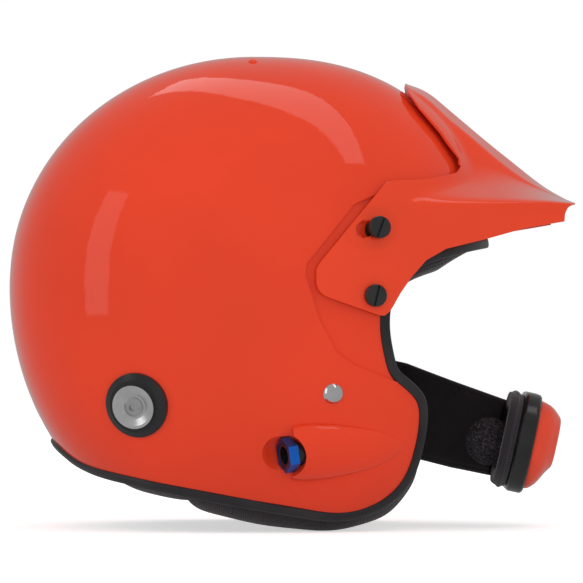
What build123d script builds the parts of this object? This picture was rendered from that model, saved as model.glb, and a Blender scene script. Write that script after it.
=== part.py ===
from build123d import *
from build123d import SkipClean
import math
import os

os.makedirs("parts", exist_ok=True)

# Driving dimensions in millimetres. +X is forward, +Y the wearer's left, +Z up,
# and the lowest padding lies at Z = 0.

# Shell: level rings are superellipses about one crown line
crown_x = -22.0
belt_height = 144.0
crown_rise = 137.4
front_reach = 141.0
rear_reach = 147.0
half_width = 124.0
end_tuck = 16.0
side_tuck = 41.0
shell_wall = 4.5
recess_depth = 1.6
upper_powers = (2.4, 2.03, 2.25)
lower_powers = (3.0, 2.03, 2.6)
plan_power = 2.45
ring_points = 20

# Rubber channel on the rim
trim_thickness = 1.8
trim_grip = 4.6
seat_gap = 0.2

# Liners and padding
foam_thickness = 30.0
comfort_thickness = 8.0
cheek_foam_half_gap = 80.0
cheek_pad_half_gap = 58.0
brow_pad_drop = 8.0
soft_gap = 0.5

# Peak
peak_gap = 1.6
peak_wall = 2.8
pivot_share = (0.4979, -0.0389)
slot_radius = 39.0
slot_bearing = 2.2
peak_travel = 10.8
screw_head_radius = 6.5
screw_head_height = 3.2
screw_shank_radius = 3.0
screw_bearing_gap = 0.3
pivot_head_gap = 0.7
slot_head_gap = 3.0
slot_collar_radius = 3.7
slot_side_gap = 0.65
insert_radius = 5.2
insert_length = 8.0
insert_flange_radius = 8.0
insert_flange = 1.2

# Head restraint post anchors
anchor_share = (-0.4626, -0.4819)
anchor_ring_radius = 19.1
anchor_ring_top_radius = 15.6
anchor_ring_height = 3.4
anchor_disc_radius = 12.85
anchor_disc_seat = 1.2
anchor_disc_thickness = 4.8
anchor_dish = 1.4
anchor_screw_radius = 5.7
anchor_screw_height = 3.0
anchor_shank_radius = 3.0
anchor_socket_radius = 1.9
anchor_plate_radius = 12.0
anchor_plate_thickness = 2.5

# Intercom port
port_share = (0.1603, -0.6736)
port_rise = 2.5
port_axis_shares = (-0.90, -0.39, -0.15)
nut_across_corners = 21.0
nut_thickness = 6.0
port_bore_radius = 5.4
port_bore_length = 14.0
socket_wall = 1.9
socket_length = 18.0
socket_flange = 2.2
nut_face_step = 0.4
blister_length = 66.0
blister_rise = 9.5
blister_half_height = 17.0
scoop_radius = 15.0

# Chin strap
rivet_share = (0.3291, -0.4361)
rivet_radius = 6.0
rivet_rise = 3.2
rivet_shank_radius = 2.3
rivet_washer_radius = 7.0
rivet_washer = 1.0
strap_width = 20.0
strap_thickness = 1.8

# Hearing
ear_share = (0.0284, -0.375)
ear_half_length = 31.0
ear_half_height = 38.0
ear_cup_depth = 24.0
ear_cup_wall = 2.5
ear_cushion_depth = 12.0
ear_inner = 64.0
speaker_radius = 20.0
speaker_depth = 7.0

# Boom and mouthpiece
boom_pivot_share = (0.5106, -0.5278)
boom_raise = 15.0
boom_drop = 8.0
boom_pin_radius = 4.0
boom_bearing_gap = 0.06
boom_offset = 75.5
arm_cover_thickness = 6.4
arm_core_thickness = 2.4
arm_core_inset = 5.0
arm_clearance = 0.8
arm_room_drop = 46.0
arm_room_rise = 49.0
base_thickness = 2.6
mouth_share = (1.1298, -0.6479)
mouth_tilt = 12.2
mouth_half_width = 44.0
mouth_half_height = 30.0
mouth_wall = 2.4
gasket_depth = 10.5
mouth_pad_depth = 8.0
cover_depth = 15.0
foam_ball_radius = 14.6
foam_ball_share = (1.0, -0.6486)
capsule_radius = 5.0
capsule_length = 9.0

overrun = 2.0
quarter_turn = 90
span = 2 * half_width
step = half_width / 1000


def side_point(x_share, z_share):
    """A place in the side view, as shares of the shell's reaches and heights."""
    reach = front_reach if x_share > 0 else rear_reach
    height = crown_rise if z_share > 0 else belt_height
    return (crown_x + x_share * reach, belt_height + z_share * height)


def side_points(shares):
    return [side_point(*share) for share in shares]


pivot_x, pivot_z = side_point(*pivot_share)
anchor_x, anchor_z = side_point(*anchor_share)
port_x, port_z = side_point(*port_share)
rivet_x, rivet_z = side_point(*rivet_share)
ear_x, ear_z = side_point(*ear_share)
boom_pivot_x, boom_pivot_z = side_point(*boom_pivot_share)
mouth_x, mouth_z = side_point(*mouth_share)
foam_ball_x, foam_ball_z = side_point(*foam_ball_share)


# Outlines seen from the side, as shares of the reaches and heights
rim_shares = [
    (-0.952, -0.542), (-0.808, -0.647), (-0.714, -0.711), (-0.535, -0.765), (-0.259, -0.818),
    (-0.020, -0.863), (0.199, -0.901), (0.362, -0.918), (0.475, -0.896), (0.564, -0.847),
    (0.628, -0.771), (0.665, -0.667), (0.684, -0.556), (0.674, -0.472), (0.624, -0.417),
    (0.575, -0.372), (0.542, -0.285), (0.525, -0.181), (0.532, -0.069), (0.567, 0.022),
    (0.638, 0.096), (0.752, 0.150), (0.865, 0.184), (0.986, 0.211), (1.220, 0.247),
]
recess_shares = [
    (0.596, 0.429), (0.413, 0.345), (0.218, 0.092), (0.214, 0.044), (0.235, -0.017),
    (0.269, -0.133), (0.341, -0.267), (0.413, -0.319), (0.575, -0.383), (0.830, -0.458),
    (1.220, -0.458), (1.220, 0.429),
]
pad_bottom_shares = [
    (-0.287, -0.895), (-0.240, -0.913), (-0.154, -0.933), (0.014, -0.971), (0.191, -0.993),
    (0.298, -1.000), (0.383, -0.992), (0.468, -0.971), (0.553, -0.938), (0.617, -0.883),
    (0.673, -0.808), (0.696, -0.743),
]
roll_bottom_shares = [
    (-0.612, -0.764), (-0.558, -0.830), (-0.497, -0.854), (-0.424, -0.869), (-0.330, -0.883),
]
roll_front_shares = [(-0.330, -0.883), (-0.325, -0.80)]
peak_lower_shares = [
    (1.302, 0.277), (1.128, 0.247), (0.958, 0.198), (0.796, 0.157), (0.713, 0.109),
    (0.650, 0.035), (0.565, -0.099),
]
peak_toe_shares = [(0.565, -0.099), (0.541, -0.120), (0.524, -0.120), (0.362, -0.067), (0.293, -0.040)]
peak_rear_shares = [(0.293, -0.040), (0.268, 0.004), (0.258, 0.052), (0.274, 0.098)]
peak_upper_shares = [
    (0.550, 0.444), (0.652, 0.450), (0.730, 0.457), (0.806, 0.474), (0.848, 0.488),
    (0.865, 0.514), (0.858, 0.549), (0.830, 0.592),
]
peak_front_shares = [
    (0.830, 0.592), (0.784, 0.664), (0.691, 0.773), (0.645, 0.844), (0.610, 0.961),
    (1.461, 0.961), (1.369, 0.367), (1.354, 0.355), (1.316, 0.307), (1.313, 0.288), (1.302, 0.277),
]


# Shell body
def bulge(share, power):
    """Height of a unit superellipse of this power at a share of its width."""
    return max(0.0, 1 - abs(share) ** power) ** (1 / power)


def ring_axes(z, grow):
    """Front, rear and side half axes of the level ring at height z."""
    reaches = (front_reach, rear_reach, half_width)
    if z >= belt_height:
        share = (z - belt_height) / (crown_rise + grow)
        return [(reach + grow) * bulge(share, power) for reach, power in zip(reaches, upper_powers)]
    drops = (belt_height + end_tuck, belt_height + end_tuck, belt_height + side_tuck)
    return [
        reach * bulge((belt_height - z) / drop, power) + grow
        for reach, drop, power in zip(reaches, drops, lower_powers)
    ]


def level_ring(z, grow):
    """Closed curve of the shell body at height z, grown outwards by grow."""
    front, rear, side = ring_axes(z, grow)
    points = []
    for i in range(ring_points):
        turn = 2 * math.pi * i / ring_points
        along, across = math.cos(turn), math.sin(turn)
        reach = front if along >= 0 else rear
        x = crown_x + reach * math.copysign(abs(along) ** (2 / plan_power), along)
        y = side * math.copysign(abs(across) ** (2 / plan_power), across)
        points.append((x, y, z))
    shares = [i / ring_points for i in range(ring_points + 1)]
    return Face(Wire([Edge.make_spline(points, periodic=True, parameters=shares)]))


skirt_shares = (-0.035, 0.14, 0.35, 0.56, 0.78, 1.0)
dome_angles = (17, 34, 50, 64, 76, 84)


def body(grow):
    """Solid egg of the helmet's outside, grown outwards by grow."""
    heights = [belt_height * share for share in skirt_shares]
    rise = crown_rise + grow
    heights += [belt_height + rise * math.sin(math.radians(angle)) for angle in dome_angles]
    rings = [level_ring(z, grow) for z in heights]
    return loft([*rings, Vertex(crown_x, 0, belt_height + rise)])


def skin_reach(x, z, grow=0.0):
    """Half width of the shell body at a place in the side view."""
    front, rear, side = ring_axes(z, grow)
    reach = front if x >= crown_x else rear
    return side * bulge((x - crown_x) / reach, plan_power)


def skin_plane(x, z, side=-1, grow=0.0):
    """Plane lying on the skin at a place in the side view, its Z outwards, its X forward."""
    y = skin_reach(x, z, grow)
    slope_x = (skin_reach(x + step, z, grow) - skin_reach(x - step, z, grow)) / (2 * step)
    slope_z = (skin_reach(x, z + step, grow) - skin_reach(x, z - step, grow)) / (2 * step)
    outwards = Vector(-slope_x, side, -slope_z)
    return Plane(origin=(x, side * y, z), x_dir=(1, side * slope_x, 0), z_dir=outwards)


def across(curve):
    """Prism across the whole helmet over a closed outline seen from the side."""
    return extrude(make_face(Plane.XZ * curve), amount=span, both=True)


def rim_points(out, first=0, last=None):
    """Points of the rim line in the side view, moved off the shell by out."""
    line = side_points(rim_shares)
    moved = []
    for i, (x, z) in enumerate(line):
        before, after = line[max(i - 1, 0)], line[min(i + 1, len(line) - 1)]
        dx, dz = after[0] - before[0], after[1] - before[1]
        length = math.hypot(dx, dz)
        moved.append((x + out * dz / length, z - out * dx / length))
    return moved[first:last]


def above_rim(out, first=0):
    """Prism of the side view above the rim line moved by out, from one of its points forward."""
    points = rim_points(out, first)
    top = belt_height + crown_rise + span
    ahead = crown_x + span
    behind = points[0][0] - step if first else crown_x - span
    frame = [(ahead, points[-1][1]), (ahead, top), (behind, top), (behind, points[0][1])]
    return across(Spline(*points) + Polyline(points[-1], *frame, points[0]))


def band(inner, outer):
    """Prism over the strip between two lines of points seen from the side."""
    return across(Spline(*inner) + Line(inner[-1], outer[-1]) + Spline(*outer) + Line(outer[0], inner[0]))


def half_space(gap, side):
    """Block of everything beyond a plane |y| = gap on one side."""
    block = Box(4 * span, span, 4 * span, align=(Align.CENTER, Align.MIN, Align.CENTER))
    return Pos(0, gap, 0) * block if side > 0 else Pos(0, -gap - span, 0) * block


def both_sides(shape):
    """The shape of the right side and its mirror image on the left."""
    return [shape, mirror(shape, about=Plane.XZ)]


def save(shapes, name):
    """Write one named piece, or a group of like pieces."""
    group = shapes if isinstance(shapes, list) else [shapes]
    solids = [solid for shape in group for solid in shape.solids()]
    whole = solids[0] if len(solids) == 1 else Compound(children=solids)
    whole.label = name
    export_step(whole, f"parts/{name}.step")


# Places of the fittings on the skin
pivot_plane = skin_plane(pivot_x, pivot_z, grow=peak_gap + peak_wall)
slot_x = pivot_x + slot_radius * math.sin(math.radians(slot_bearing))
slot_z = pivot_z + slot_radius * math.cos(math.radians(slot_bearing))
slot_plane = skin_plane(slot_x, slot_z, grow=peak_gap + peak_wall)
anchor_plane = skin_plane(anchor_x, anchor_z)
rivet_plane = skin_plane(rivet_x, rivet_z)
rivet_line = Plane(origin=rivet_plane.origin, x_dir=(1, 0, 0), z_dir=(0, -1, 0))
barrel_radius = port_bore_radius + socket_wall
port_skin = skin_plane(port_x, port_z)
port_axis = Vector(*port_axis_shares).normalized()
port_centre = port_skin.origin + port_skin.z_dir * port_rise
port_plane = Plane(origin=port_centre, x_dir=(0, 0, 1), z_dir=port_axis)


def drill(plane, radius, depth, height=0.0):
    """Round cutter along a plane's Z, from depth below it to height above it."""
    tool = Cylinder(radius, depth + height, align=(Align.CENTER, Align.CENTER, Align.MIN))
    return plane * Pos(0, 0, -depth) * tool


# Port scoop, shared by the shell and the foam behind it
nut_radius = nut_across_corners / 2
scoop_centre = port_centre + port_axis * (nut_thickness + overrun) + port_skin.z_dir * (scoop_radius / 3)


def port_hollow(grow):
    """Room for the nut and the dished hollow behind it, grown outwards by grow."""
    well = drill(port_plane, nut_radius + soft_gap + grow, grow, 2 * nut_thickness)
    return well + Pos(*scoop_centre) * Sphere(scoop_radius + grow)


def blister():
    """Teardrop fairing ahead of the port, lofted forward along the skin."""
    rises = ((0.0, 1.0, 0.95), (0.2, 0.92, 1.0), (0.5, 0.6, 0.86), (0.8, 0.25, 0.55))
    sections = []
    for length_share, rise_share, height_share in rises:
        place = skin_plane(port_x + blister_length * length_share, port_z + port_rise * length_share)
        plane = Plane(origin=place.origin, x_dir=place.z_dir, z_dir=place.x_dir)
        sections.append(plane * Ellipse(blister_rise * rise_share, blister_half_height * height_share))
    tip = skin_plane(port_x + blister_length, port_z + port_rise).origin
    return loft([*[section.face() for section in sections], Vertex(*tip)])


crown_bump_shares = ((0.0, 0.001), (0.15, 0.75), (0.4, 1.0), (0.7, 0.6), (1.0, 0.001))
crown_bump_length = 8.6
crown_bump_half_width = 3.6
crown_bump_x = -26.4
crown_bump_drop = 4.4
crown_bump_z = belt_height + crown_rise - crown_bump_drop


def crown_bump():
    """Small teardrop standing on the crown, blunt at the rear and pointed in front."""
    place = skin_plane(crown_bump_x, crown_bump_z)
    profile = [(crown_bump_length * a, crown_bump_half_width * b) for a, b in crown_bump_shares]
    half = make_face(Spline(*profile) + Line(profile[-1], profile[0]))
    drop = revolve(half, Axis.X, 360)
    plane = Plane(origin=place.origin, x_dir=(1, 0, 0), z_dir=place.z_dir)
    return plane * Pos(0, 0, -crown_bump_half_width / 2) * drop


def recess_step(top):
    """Layer that the recess for the peak's arms takes off a surface grown outwards by top."""
    area = across(Polyline(*side_points(recess_shares), close=True))
    return (body(top + overrun) - body(top - recess_depth)) & area


def outer_shell():
    """Laminated shell with its rim cut, arm recess, port blister and drilled holes."""
    outside = body(0.0) + blister()
    for bump in both_sides(crown_bump()):
        outside = outside + bump
    wall = (outside - body(-shell_wall)) & above_rim(trim_grip)
    boss = port_hollow(shell_wall) & body(-shell_wall / 2)
    wall = wall + boss - port_hollow(0)
    wall = wall - recess_step(0.0)
    deep = 4 * shell_wall
    for plane, radius in (
        (pivot_plane, insert_radius + seat_gap), (slot_plane, insert_radius + seat_gap),
        (anchor_plane, anchor_shank_radius + seat_gap), (rivet_line, rivet_shank_radius + seat_gap),
    ):
        for hole in both_sides(drill(plane, radius, deep, deep)):
            wall = wall - hole
    return wall - drill(port_plane, barrel_radius + seat_gap, deep + socket_length)


shell = outer_shell()
save(shell, "outer_shell")
inside = -shell_wall


# Rubber channel gripping the rim
def edge_trim():
    """Channel round the shell's edge, made in quarters and joined end to end."""
    strip = body(trim_thickness) & band(rim_points(0.0), rim_points(trim_grip + trim_thickness))
    strip = (strip & half_space(0.0, -1)) - body(inside - trim_thickness) - recess_step(trim_thickness)
    core = (body(0.0) & above_rim(trim_grip) & half_space(-step, -1)) - body(inside) - recess_step(0.0)
    channel = strip - core
    block = Box(4 * span, 4 * span, 4 * span, align=(Align.MAX, Align.CENTER, Align.CENTER))
    behind = Pos(crown_x, 0, 0) * block
    quarters = both_sides(channel & behind) + both_sides(channel - behind)
    with SkipClean():
        return quarters[0].fuse(*quarters[1:])


trim = edge_trim()
save(trim, "edge_trim")

# Foam liners: one crown piece and two cheek pieces
foam_out = inside - seat_gap
foam_in = foam_out - foam_thickness
foam_rear_rise = 14.0
cheek_joint_shares = [
    (0.60, -0.15), (0.22, -0.175), (-0.20, -0.22), (-0.28, -0.585), (-0.29, -0.86),
    (-0.29, -1.1), (1.1, -1.1), (1.1, -0.15),
]
joint_gap = 1.0


def oval(half_length, half_height, near, far):
    """Oval prism round the right ear's axis between two distances from the middle."""
    plane = Plane(origin=(ear_x, -near, ear_z), x_dir=(1, 0, 0), z_dir=(0, -1, 0))
    return extrude(plane * Ellipse(half_length, half_height), amount=far - near)


cup_outer = ear_inner + ear_cushion_depth + ear_cup_depth
ear_room = oval(
    ear_half_length + 2 * ear_cup_wall, ear_half_height + 2 * ear_cup_wall,
    ear_inner - ear_cushion_depth, cup_outer + soft_gap,
)

# Strap route from the rivet to the middle, in the view from the front
strap_face = skin_reach(rivet_x + strap_width / 2, rivet_z - strap_width / 2, inside) - soft_gap
strap_middle = strap_face - strap_thickness / 2
strap_line = [(strap_middle, rivet_z + strap_width / 2), (strap_middle, rivet_z - strap_width / 2)]
washer_face = skin_reach(rivet_x, rivet_z) - strap_face + strap_thickness + seat_gap
strap_slit_shares = [(0.72, 0.44), (0.46, 0.34), (0.34, 0.20), (0.22, 0.11), (0.0, 0.075)]
strap_line += [(half_width * a, belt_height * b) for a, b in strap_slit_shares]


def strap_run(points, thickness, width):
    """Webbing of one thickness along points (|y|, z) on the right side."""
    path = [(-y, z) for y, z in points]
    plane = Plane(origin=(rivet_x, 0, 0), x_dir=(0, 1, 0), z_dir=(1, 0, 0))
    line = FilletPolyline(*path, radius=[strap_thickness * 3] * (len(path) - 2))
    return extrude(plane * trace(line, thickness), amount=width / 2, both=True)


strap_room = strap_run(strap_line, strap_thickness + 4 * soft_gap, strap_width + 4 * soft_gap)
socket_room = drill(port_plane, barrel_radius + 2 * soft_gap, socket_length + socket_flange + 2 * soft_gap)
port_room = (port_hollow(shell_wall + soft_gap) & body(0.0)) + socket_room


def fitting_rooms(side):
    """Pockets in the foam behind the fittings of one side."""
    rooms = [
        drill(pivot_plane, insert_flange_radius + soft_gap, 2 * insert_length),
        drill(slot_plane, insert_flange_radius + soft_gap, 2 * insert_length),
        drill(anchor_plane, anchor_plate_radius + soft_gap, 2 * shell_wall),
        drill(rivet_line, rivet_washer_radius + 2 * soft_gap, washer_face + 4 * rivet_washer),
        strap_room,
        ear_room,
    ]
    if side > 0:
        return [mirror(room, about=Plane.XZ) for room in rooms]
    return rooms + [port_room]


# Room for the boom's arm at the left cheek
arm_bend_shares = [(-0.20, 1.0), (0.16, 1.0), (1.0, 0.20)]
tongue_start_share = 0.66
arm_bends = [(boom_pivot_x + (mouth_x - boom_pivot_x) * a, boom_offset * b) for a, b in arm_bend_shares]


def arm_plan(thickness):
    """Strip of the boom arm seen from above, along its bent centre line."""
    return trace(FilletPolyline(*arm_bends, radius=boom_offset / 3), thickness)


def arm_strip(thickness, bottom=0.0, top=belt_height):
    return extrude(Pos(0, 0, bottom) * arm_plan(thickness), amount=top - bottom)


def arm_sweep():
    """Room that the arm sweeps between the limits of its tilt."""
    bottom, top = boom_pivot_z - arm_room_drop, boom_pivot_z + arm_room_rise
    strip = arm_strip(arm_cover_thickness + 2 * arm_clearance, bottom, top)
    pin = Axis((boom_pivot_x, 0, boom_pivot_z), (0, 1, 0))
    return strip + strip.rotate(pin, -boom_raise) + strip.rotate(pin, boom_drop)


base_half_length = 12.0
base_half_height = 15.0
base_inner = boom_offset + arm_cover_thickness / 2 + arm_clearance
arm_room = arm_sweep()
base_room = Pos(boom_pivot_x, base_inner, boom_pivot_z) * Box(
    2 * base_half_length, base_thickness, 2 * base_half_height, align=(Align.CENTER, Align.MIN, Align.CENTER)
)


def crown_liner():
    cover = (body(foam_out) - body(foam_in)) & above_rim(-foam_rear_rise)
    cover = cover + ((body(foam_out) - body(foam_in)) & above_rim(-soft_gap, first=10))
    cover = cover - across(Polyline(*side_points(cheek_joint_shares), close=True))
    for side in (-1, 1):
        for room in fitting_rooms(side):
            cover = cover - room
    return cover


def cheek_liner(side):
    """Cheek foam of one side, flat on its inner face."""
    joint = offset(make_face(Polyline(*side_points(cheek_joint_shares), close=True)), amount=-joint_gap)
    area = extrude(Plane.XZ * joint, amount=span, both=True)
    foam = body(foam_out) & half_space(cheek_foam_half_gap, side) & area & above_rim(-soft_gap)
    for room in fitting_rooms(side):
        foam = foam - room
    if side > 0:
        foam = foam - arm_room - base_room
    return foam


save(crown_liner(), "crown_liner")
save(cheek_liner(-1), "cheek_liner_right")
save(cheek_liner(1), "cheek_liner_left")

# Padding
comfort_out = foam_in - seat_gap
comfort_in = comfort_out - comfort_thickness
comfort_shares = [
    (-1.2, -0.45), (-0.62, -0.45), (-0.45, -0.05), (0.45, -0.05), (0.62, 0.13), (0.80, 0.22), (1.2, 0.30),
    (1.2, 1.2), (-1.2, 1.2),
]
comfort_area = across(Polyline(*side_points(comfort_shares), close=True))
comfort_liner = (body(comfort_out) - body(comfort_in)) & comfort_area
save(comfort_liner, "comfort_liner")

brow_first = 19
pad_out = inside - trim_thickness - soft_gap
brow_inner = rim_points(soft_gap, brow_first)
brow_outer = rim_points(trim_grip + trim_thickness + brow_pad_drop, brow_first)
brow_pad = (body(pad_out) - body(comfort_in)) & band(brow_inner, brow_outer)
save(brow_pad, "brow_pad")

cheek_top_shares = [
    (0.655, -0.50), (0.60, -0.42), (0.55, -0.36), (0.50, -0.22), (0.34, -0.20), (0.30, -0.45),
    (-0.26, -0.45),
]


def cheek_pad(side):
    """Cheek cushion of one side: inner pad and the roll that wraps the foam's lower edge."""
    lower = side_points(pad_bottom_shares)
    upper = side_points(cheek_top_shares)
    outline = Spline(*lower) + Polyline(lower[-1], *upper, lower[0])
    pad = body(pad_out) & half_space(cheek_pad_half_gap, side) & across(outline)
    liner_room = half_space(cheek_foam_half_gap - soft_gap, side) & above_rim(soft_gap)
    pad = pad - liner_room
    for room in fitting_rooms(side):
        pad = pad - room
    if side > 0:
        pad = pad - arm_room - base_room
    return max(pad.solids(), key=lambda solid: solid.volume)


save(cheek_pad(-1), "cheek_pad_right")
save(cheek_pad(1), "cheek_pad_left")

roll_top = rim_points(-foam_rear_rise + soft_gap, 0, 4)
roll_bottom = rim_points(trim_grip, 0, 2) + side_points(roll_bottom_shares)


def neck_roll():
    """Padded roll round the rear of the rim, from ear to ear."""
    front = Polyline(*side_points(roll_front_shares), roll_top[-1])
    area = across(Spline(*roll_bottom) + front + Spline(*roll_top) + Line(roll_top[0], roll_bottom[0]))
    return (body(pad_out) - body(comfort_in)) & area


save(neck_roll(), "neck_roll")

# Peak: arms that follow the shell, and a creased bill that leaves it ahead of the brow
bill_shares = [
    # along, roof height, crease (across, height), foot (across, height), ridge (across, height)
    (0.440, 0.770, 0.194, 0.740, 0.480, 0.590, 0.840, 0.362),
    (0.596, 0.858, 0.194, 0.826, 0.440, 0.590, 0.855, 0.362),
    (0.688, 0.863, 0.198, 0.828, 0.340, 0.640, 0.847, 0.362),
    (0.794, 0.796, 0.218, 0.742, 0.379, 0.510, 0.831, 0.362),
    (0.901, 0.705, 0.234, 0.651, 0.371, 0.493, 0.810, 0.362),
    (1.007, 0.614, 0.242, 0.563, 0.339, 0.480, 0.790, 0.362),
    (1.124, 0.518, 0.242, 0.472, 0.290, 0.462, 0.766, 0.362),
    (1.234, 0.435, 0.242, 0.421, 0.290, 0.414, 0.738, 0.362),
    (1.376, 0.343, 0.242, 0.342, 0.290, 0.342, 0.702, 0.343),
]
bill_lip_flare = 3.0
bill_lip_share = 0.25
bill_bottom_share = -0.30
bill_front_shares = [(1.337, 0.661), (1.3575, 0.0)]
bill_corner_shares = [(1.312, 0.726), (1.13, 1.0)]


def bill(wall):
    """Creased bill as a solid, drawn in by a wall, lofted through straight-sided sections."""
    sections = []
    for along, roof, crease_y, crease_z, foot_y, foot_z, ridge_y, ridge_z in bill_shares:
        x = crown_x + along * front_reach
        lip_y = ridge_y * half_width + bill_lip_flare - wall
        half = [
            (lip_y, belt_height + bill_bottom_share * crown_rise),
            (lip_y, belt_height + bill_lip_share * crown_rise),
            (ridge_y * half_width - wall, belt_height + ridge_z * crown_rise - wall / 2),
            (foot_y * half_width - wall / 2, belt_height + foot_z * crown_rise - wall),
            (crease_y * half_width - wall / 2, belt_height + crease_z * crown_rise - wall),
            (0.0, belt_height + roof * crown_rise - 1.2 * wall),
        ]
        outline = half + [(-y, z) for y, z in reversed(half[:-1])]
        plane = Plane(origin=(x, 0, 0), x_dir=(0, 1, 0), z_dir=(1, 0, 0))
        sections.append(make_face(plane * Polyline(*outline, close=True)))
    return loft(sections, ruled=True)


def peak_outline():
    """Side view of the peak as one prism, trimmed to its bowed front edge."""
    side = (
        Spline(*side_points(peak_lower_shares)) + Polyline(*side_points(peak_toe_shares))
        + Spline(*side_points(peak_rear_shares))
        + Line(side_point(*peak_rear_shares[-1]), side_point(*peak_upper_shares[0]))
        + Spline(*side_points(peak_upper_shares)) + Polyline(*side_points(peak_front_shares))
    )
    ahead = [(crown_x + a * front_reach, b * half_width) for a, b in bill_front_shares]
    corner = [(crown_x + a * front_reach, b * half_width) for a, b in bill_corner_shares]
    other = [(x, -y) for x, y in corner]
    bow = ThreePointArc(ahead[0], ahead[1], (ahead[0][0], -ahead[0][1]))
    behind = [(crown_x, -half_width), (crown_x, half_width)]
    rest = Polyline((ahead[0][0], -ahead[0][1]), *other, *behind, *reversed(corner), ahead[0])
    plan = extrude(make_face(bow + rest), amount=2 * (belt_height + crown_rise))
    return across(side) & plan


def peak():
    outside = body(peak_gap + peak_wall) + bill(0.0)
    hollow = body(peak_gap) + bill(peak_wall)
    blank = (outside - hollow) & peak_outline()
    slot_width = 2 * (slot_collar_radius + slot_side_gap)
    arc = CenterArc((pivot_x, pivot_z), slot_radius, quarter_turn - slot_bearing, peak_travel)
    blank = blank - extrude(Plane.XZ * SlotArc(arc, slot_width), amount=span, both=True)
    bearing = drill(pivot_plane, screw_shank_radius + screw_bearing_gap, 3 * peak_wall, 3 * peak_wall)
    for hole in both_sides(bearing):
        blank = blank - hole
    return max(blank.solids(), key=lambda solid: solid.volume)


save(peak(), "peak")

# Peak screws: slotted plastic heads on shanks that reach the inserts in the shell
driver_slot_width = 1.5
driver_slot_depth = 1.5
pivot_slot_turn = 14
upper_slot_turn = 24
shank_reach = peak_wall + peak_gap + recess_depth + insert_length - overrun


def slotted_head(plane, height, turn):
    """Low cylinder head with a bevelled rim and a driver slot across it."""
    head = Cylinder(screw_head_radius, screw_head_height, align=(Align.CENTER, Align.CENTER, Align.MIN))
    head = chamfer(head.edges().group_by(Axis.Z)[-1], screw_head_height / 5)
    groove = Box(2 * screw_head_radius + overrun, driver_slot_width, 2 * driver_slot_depth)
    head = head - Pos(0, 0, screw_head_height) * Rot(0, 0, turn) * groove
    return plane * Pos(0, 0, height) * head


def pivot_screw():
    shank = drill(pivot_plane, screw_shank_radius, shank_reach, pivot_head_gap)
    return shank + slotted_head(pivot_plane, pivot_head_gap, quarter_turn - pivot_slot_turn)


def slot_screw():
    collar = drill(slot_plane, slot_collar_radius, peak_wall + peak_gap / 2, slot_head_gap)
    shank = drill(slot_plane, screw_shank_radius, shank_reach, 0.0)
    return shank + collar + slotted_head(slot_plane, slot_head_gap, quarter_turn - upper_slot_turn)


def screw_insert(plane):
    """Flanged insert set in the shell behind one peak screw."""
    top = peak_gap + peak_wall + recess_depth
    sleeve = drill(plane, insert_radius, top + insert_length) - drill(plane, insert_radius + overrun, top)
    flange_top = peak_gap + peak_wall + shell_wall + insert_flange / 2
    flange = drill(plane, insert_flange_radius, flange_top + insert_flange)
    flange = flange - drill(plane, insert_flange_radius + overrun, flange_top)
    return sleeve + flange - drill(plane, screw_shank_radius + seat_gap / 4, 3 * insert_length)


save(both_sides(pivot_screw()), "pivot_screws")
save(both_sides(slot_screw()), "slot_screws")
save(both_sides(screw_insert(pivot_plane)) + both_sides(screw_insert(slot_plane)), "screw_inserts")


# Head restraint anchors
def turned(profile, plane):
    """Solid turned round a plane's Z from half a profile of (radius, height)."""
    return plane * revolve(make_face(Plane.XZ * Polyline(*profile, close=True)), Axis.Z, 360)


def anchor_ring():
    sunk = -shell_wall / 2
    bore = anchor_disc_radius
    seat = anchor_disc_seat - seat_gap
    hole = anchor_shank_radius + seat_gap
    profile = [
        (hole, sunk), (anchor_ring_radius, sunk), (anchor_ring_radius, seat),
        (anchor_ring_top_radius, anchor_ring_height), (bore, anchor_ring_height), (bore, seat), (hole, seat),
    ]
    return turned(profile, anchor_plane) - body(seat_gap / 4)


disc_top = anchor_disc_seat + anchor_disc_thickness
disc_edge = anchor_disc_radius / 8
screw_seat = disc_top - anchor_dish


def anchor_disc():
    hole = anchor_shank_radius + seat_gap
    neck = anchor_disc_radius - seat_gap
    profile = [
        (hole, anchor_disc_seat), (neck, anchor_disc_seat), (neck, anchor_ring_height),
        (anchor_disc_radius, anchor_ring_height), (anchor_disc_radius, disc_top),
        (anchor_disc_radius - disc_edge, disc_top), (anchor_screw_radius + disc_edge, screw_seat),
        (hole, screw_seat),
    ]
    return turned(profile, anchor_plane)


def anchor_screw():
    top = screw_seat + anchor_screw_height
    inner = anchor_screw_radius * 0.62
    profile = [
        (0.0, -2 * shell_wall), (anchor_shank_radius, -2 * shell_wall), (anchor_shank_radius, screw_seat),
        (anchor_screw_radius, screw_seat), (anchor_screw_radius, screw_seat + anchor_screw_height / 3),
        (inner, top), (0.0, top),
    ]
    socket = drill(anchor_plane, anchor_socket_radius, anchor_screw_height / 2 - top, top + overrun)
    return turned(profile, anchor_plane) - socket


def anchor_plate():
    top = -shell_wall - anchor_plate_thickness / 3
    bottom = top - anchor_plate_thickness
    bore = anchor_shank_radius + seat_gap / 4
    profile = [(bore, bottom), (anchor_plate_radius, bottom), (anchor_plate_radius, top), (bore, top)]
    return turned(profile, anchor_plane)


save(both_sides(anchor_ring()), "anchor_rings")
save(both_sides(anchor_disc()), "anchor_discs")
save(both_sides(anchor_screw()), "anchor_screws")
save(both_sides(anchor_plate()), "anchor_plates")

# Intercom port
def port_nut():
    face = RegularPolygon(nut_radius, 6) - Circle(barrel_radius + seat_gap / 4)
    return port_plane * extrude(face, amount=nut_thickness)


def socket_body():
    """Barrel through the nut with a flange behind the wall, blind at its inner end."""
    rear = -socket_length
    mouth = nut_thickness - nut_face_step
    profile = [
        (0.0, rear), (barrel_radius, rear), (barrel_radius, mouth), (port_bore_radius, mouth),
        (port_bore_radius, mouth - port_bore_length), (0.0, mouth - port_bore_length),
    ]
    return turned(profile, port_plane)


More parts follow.
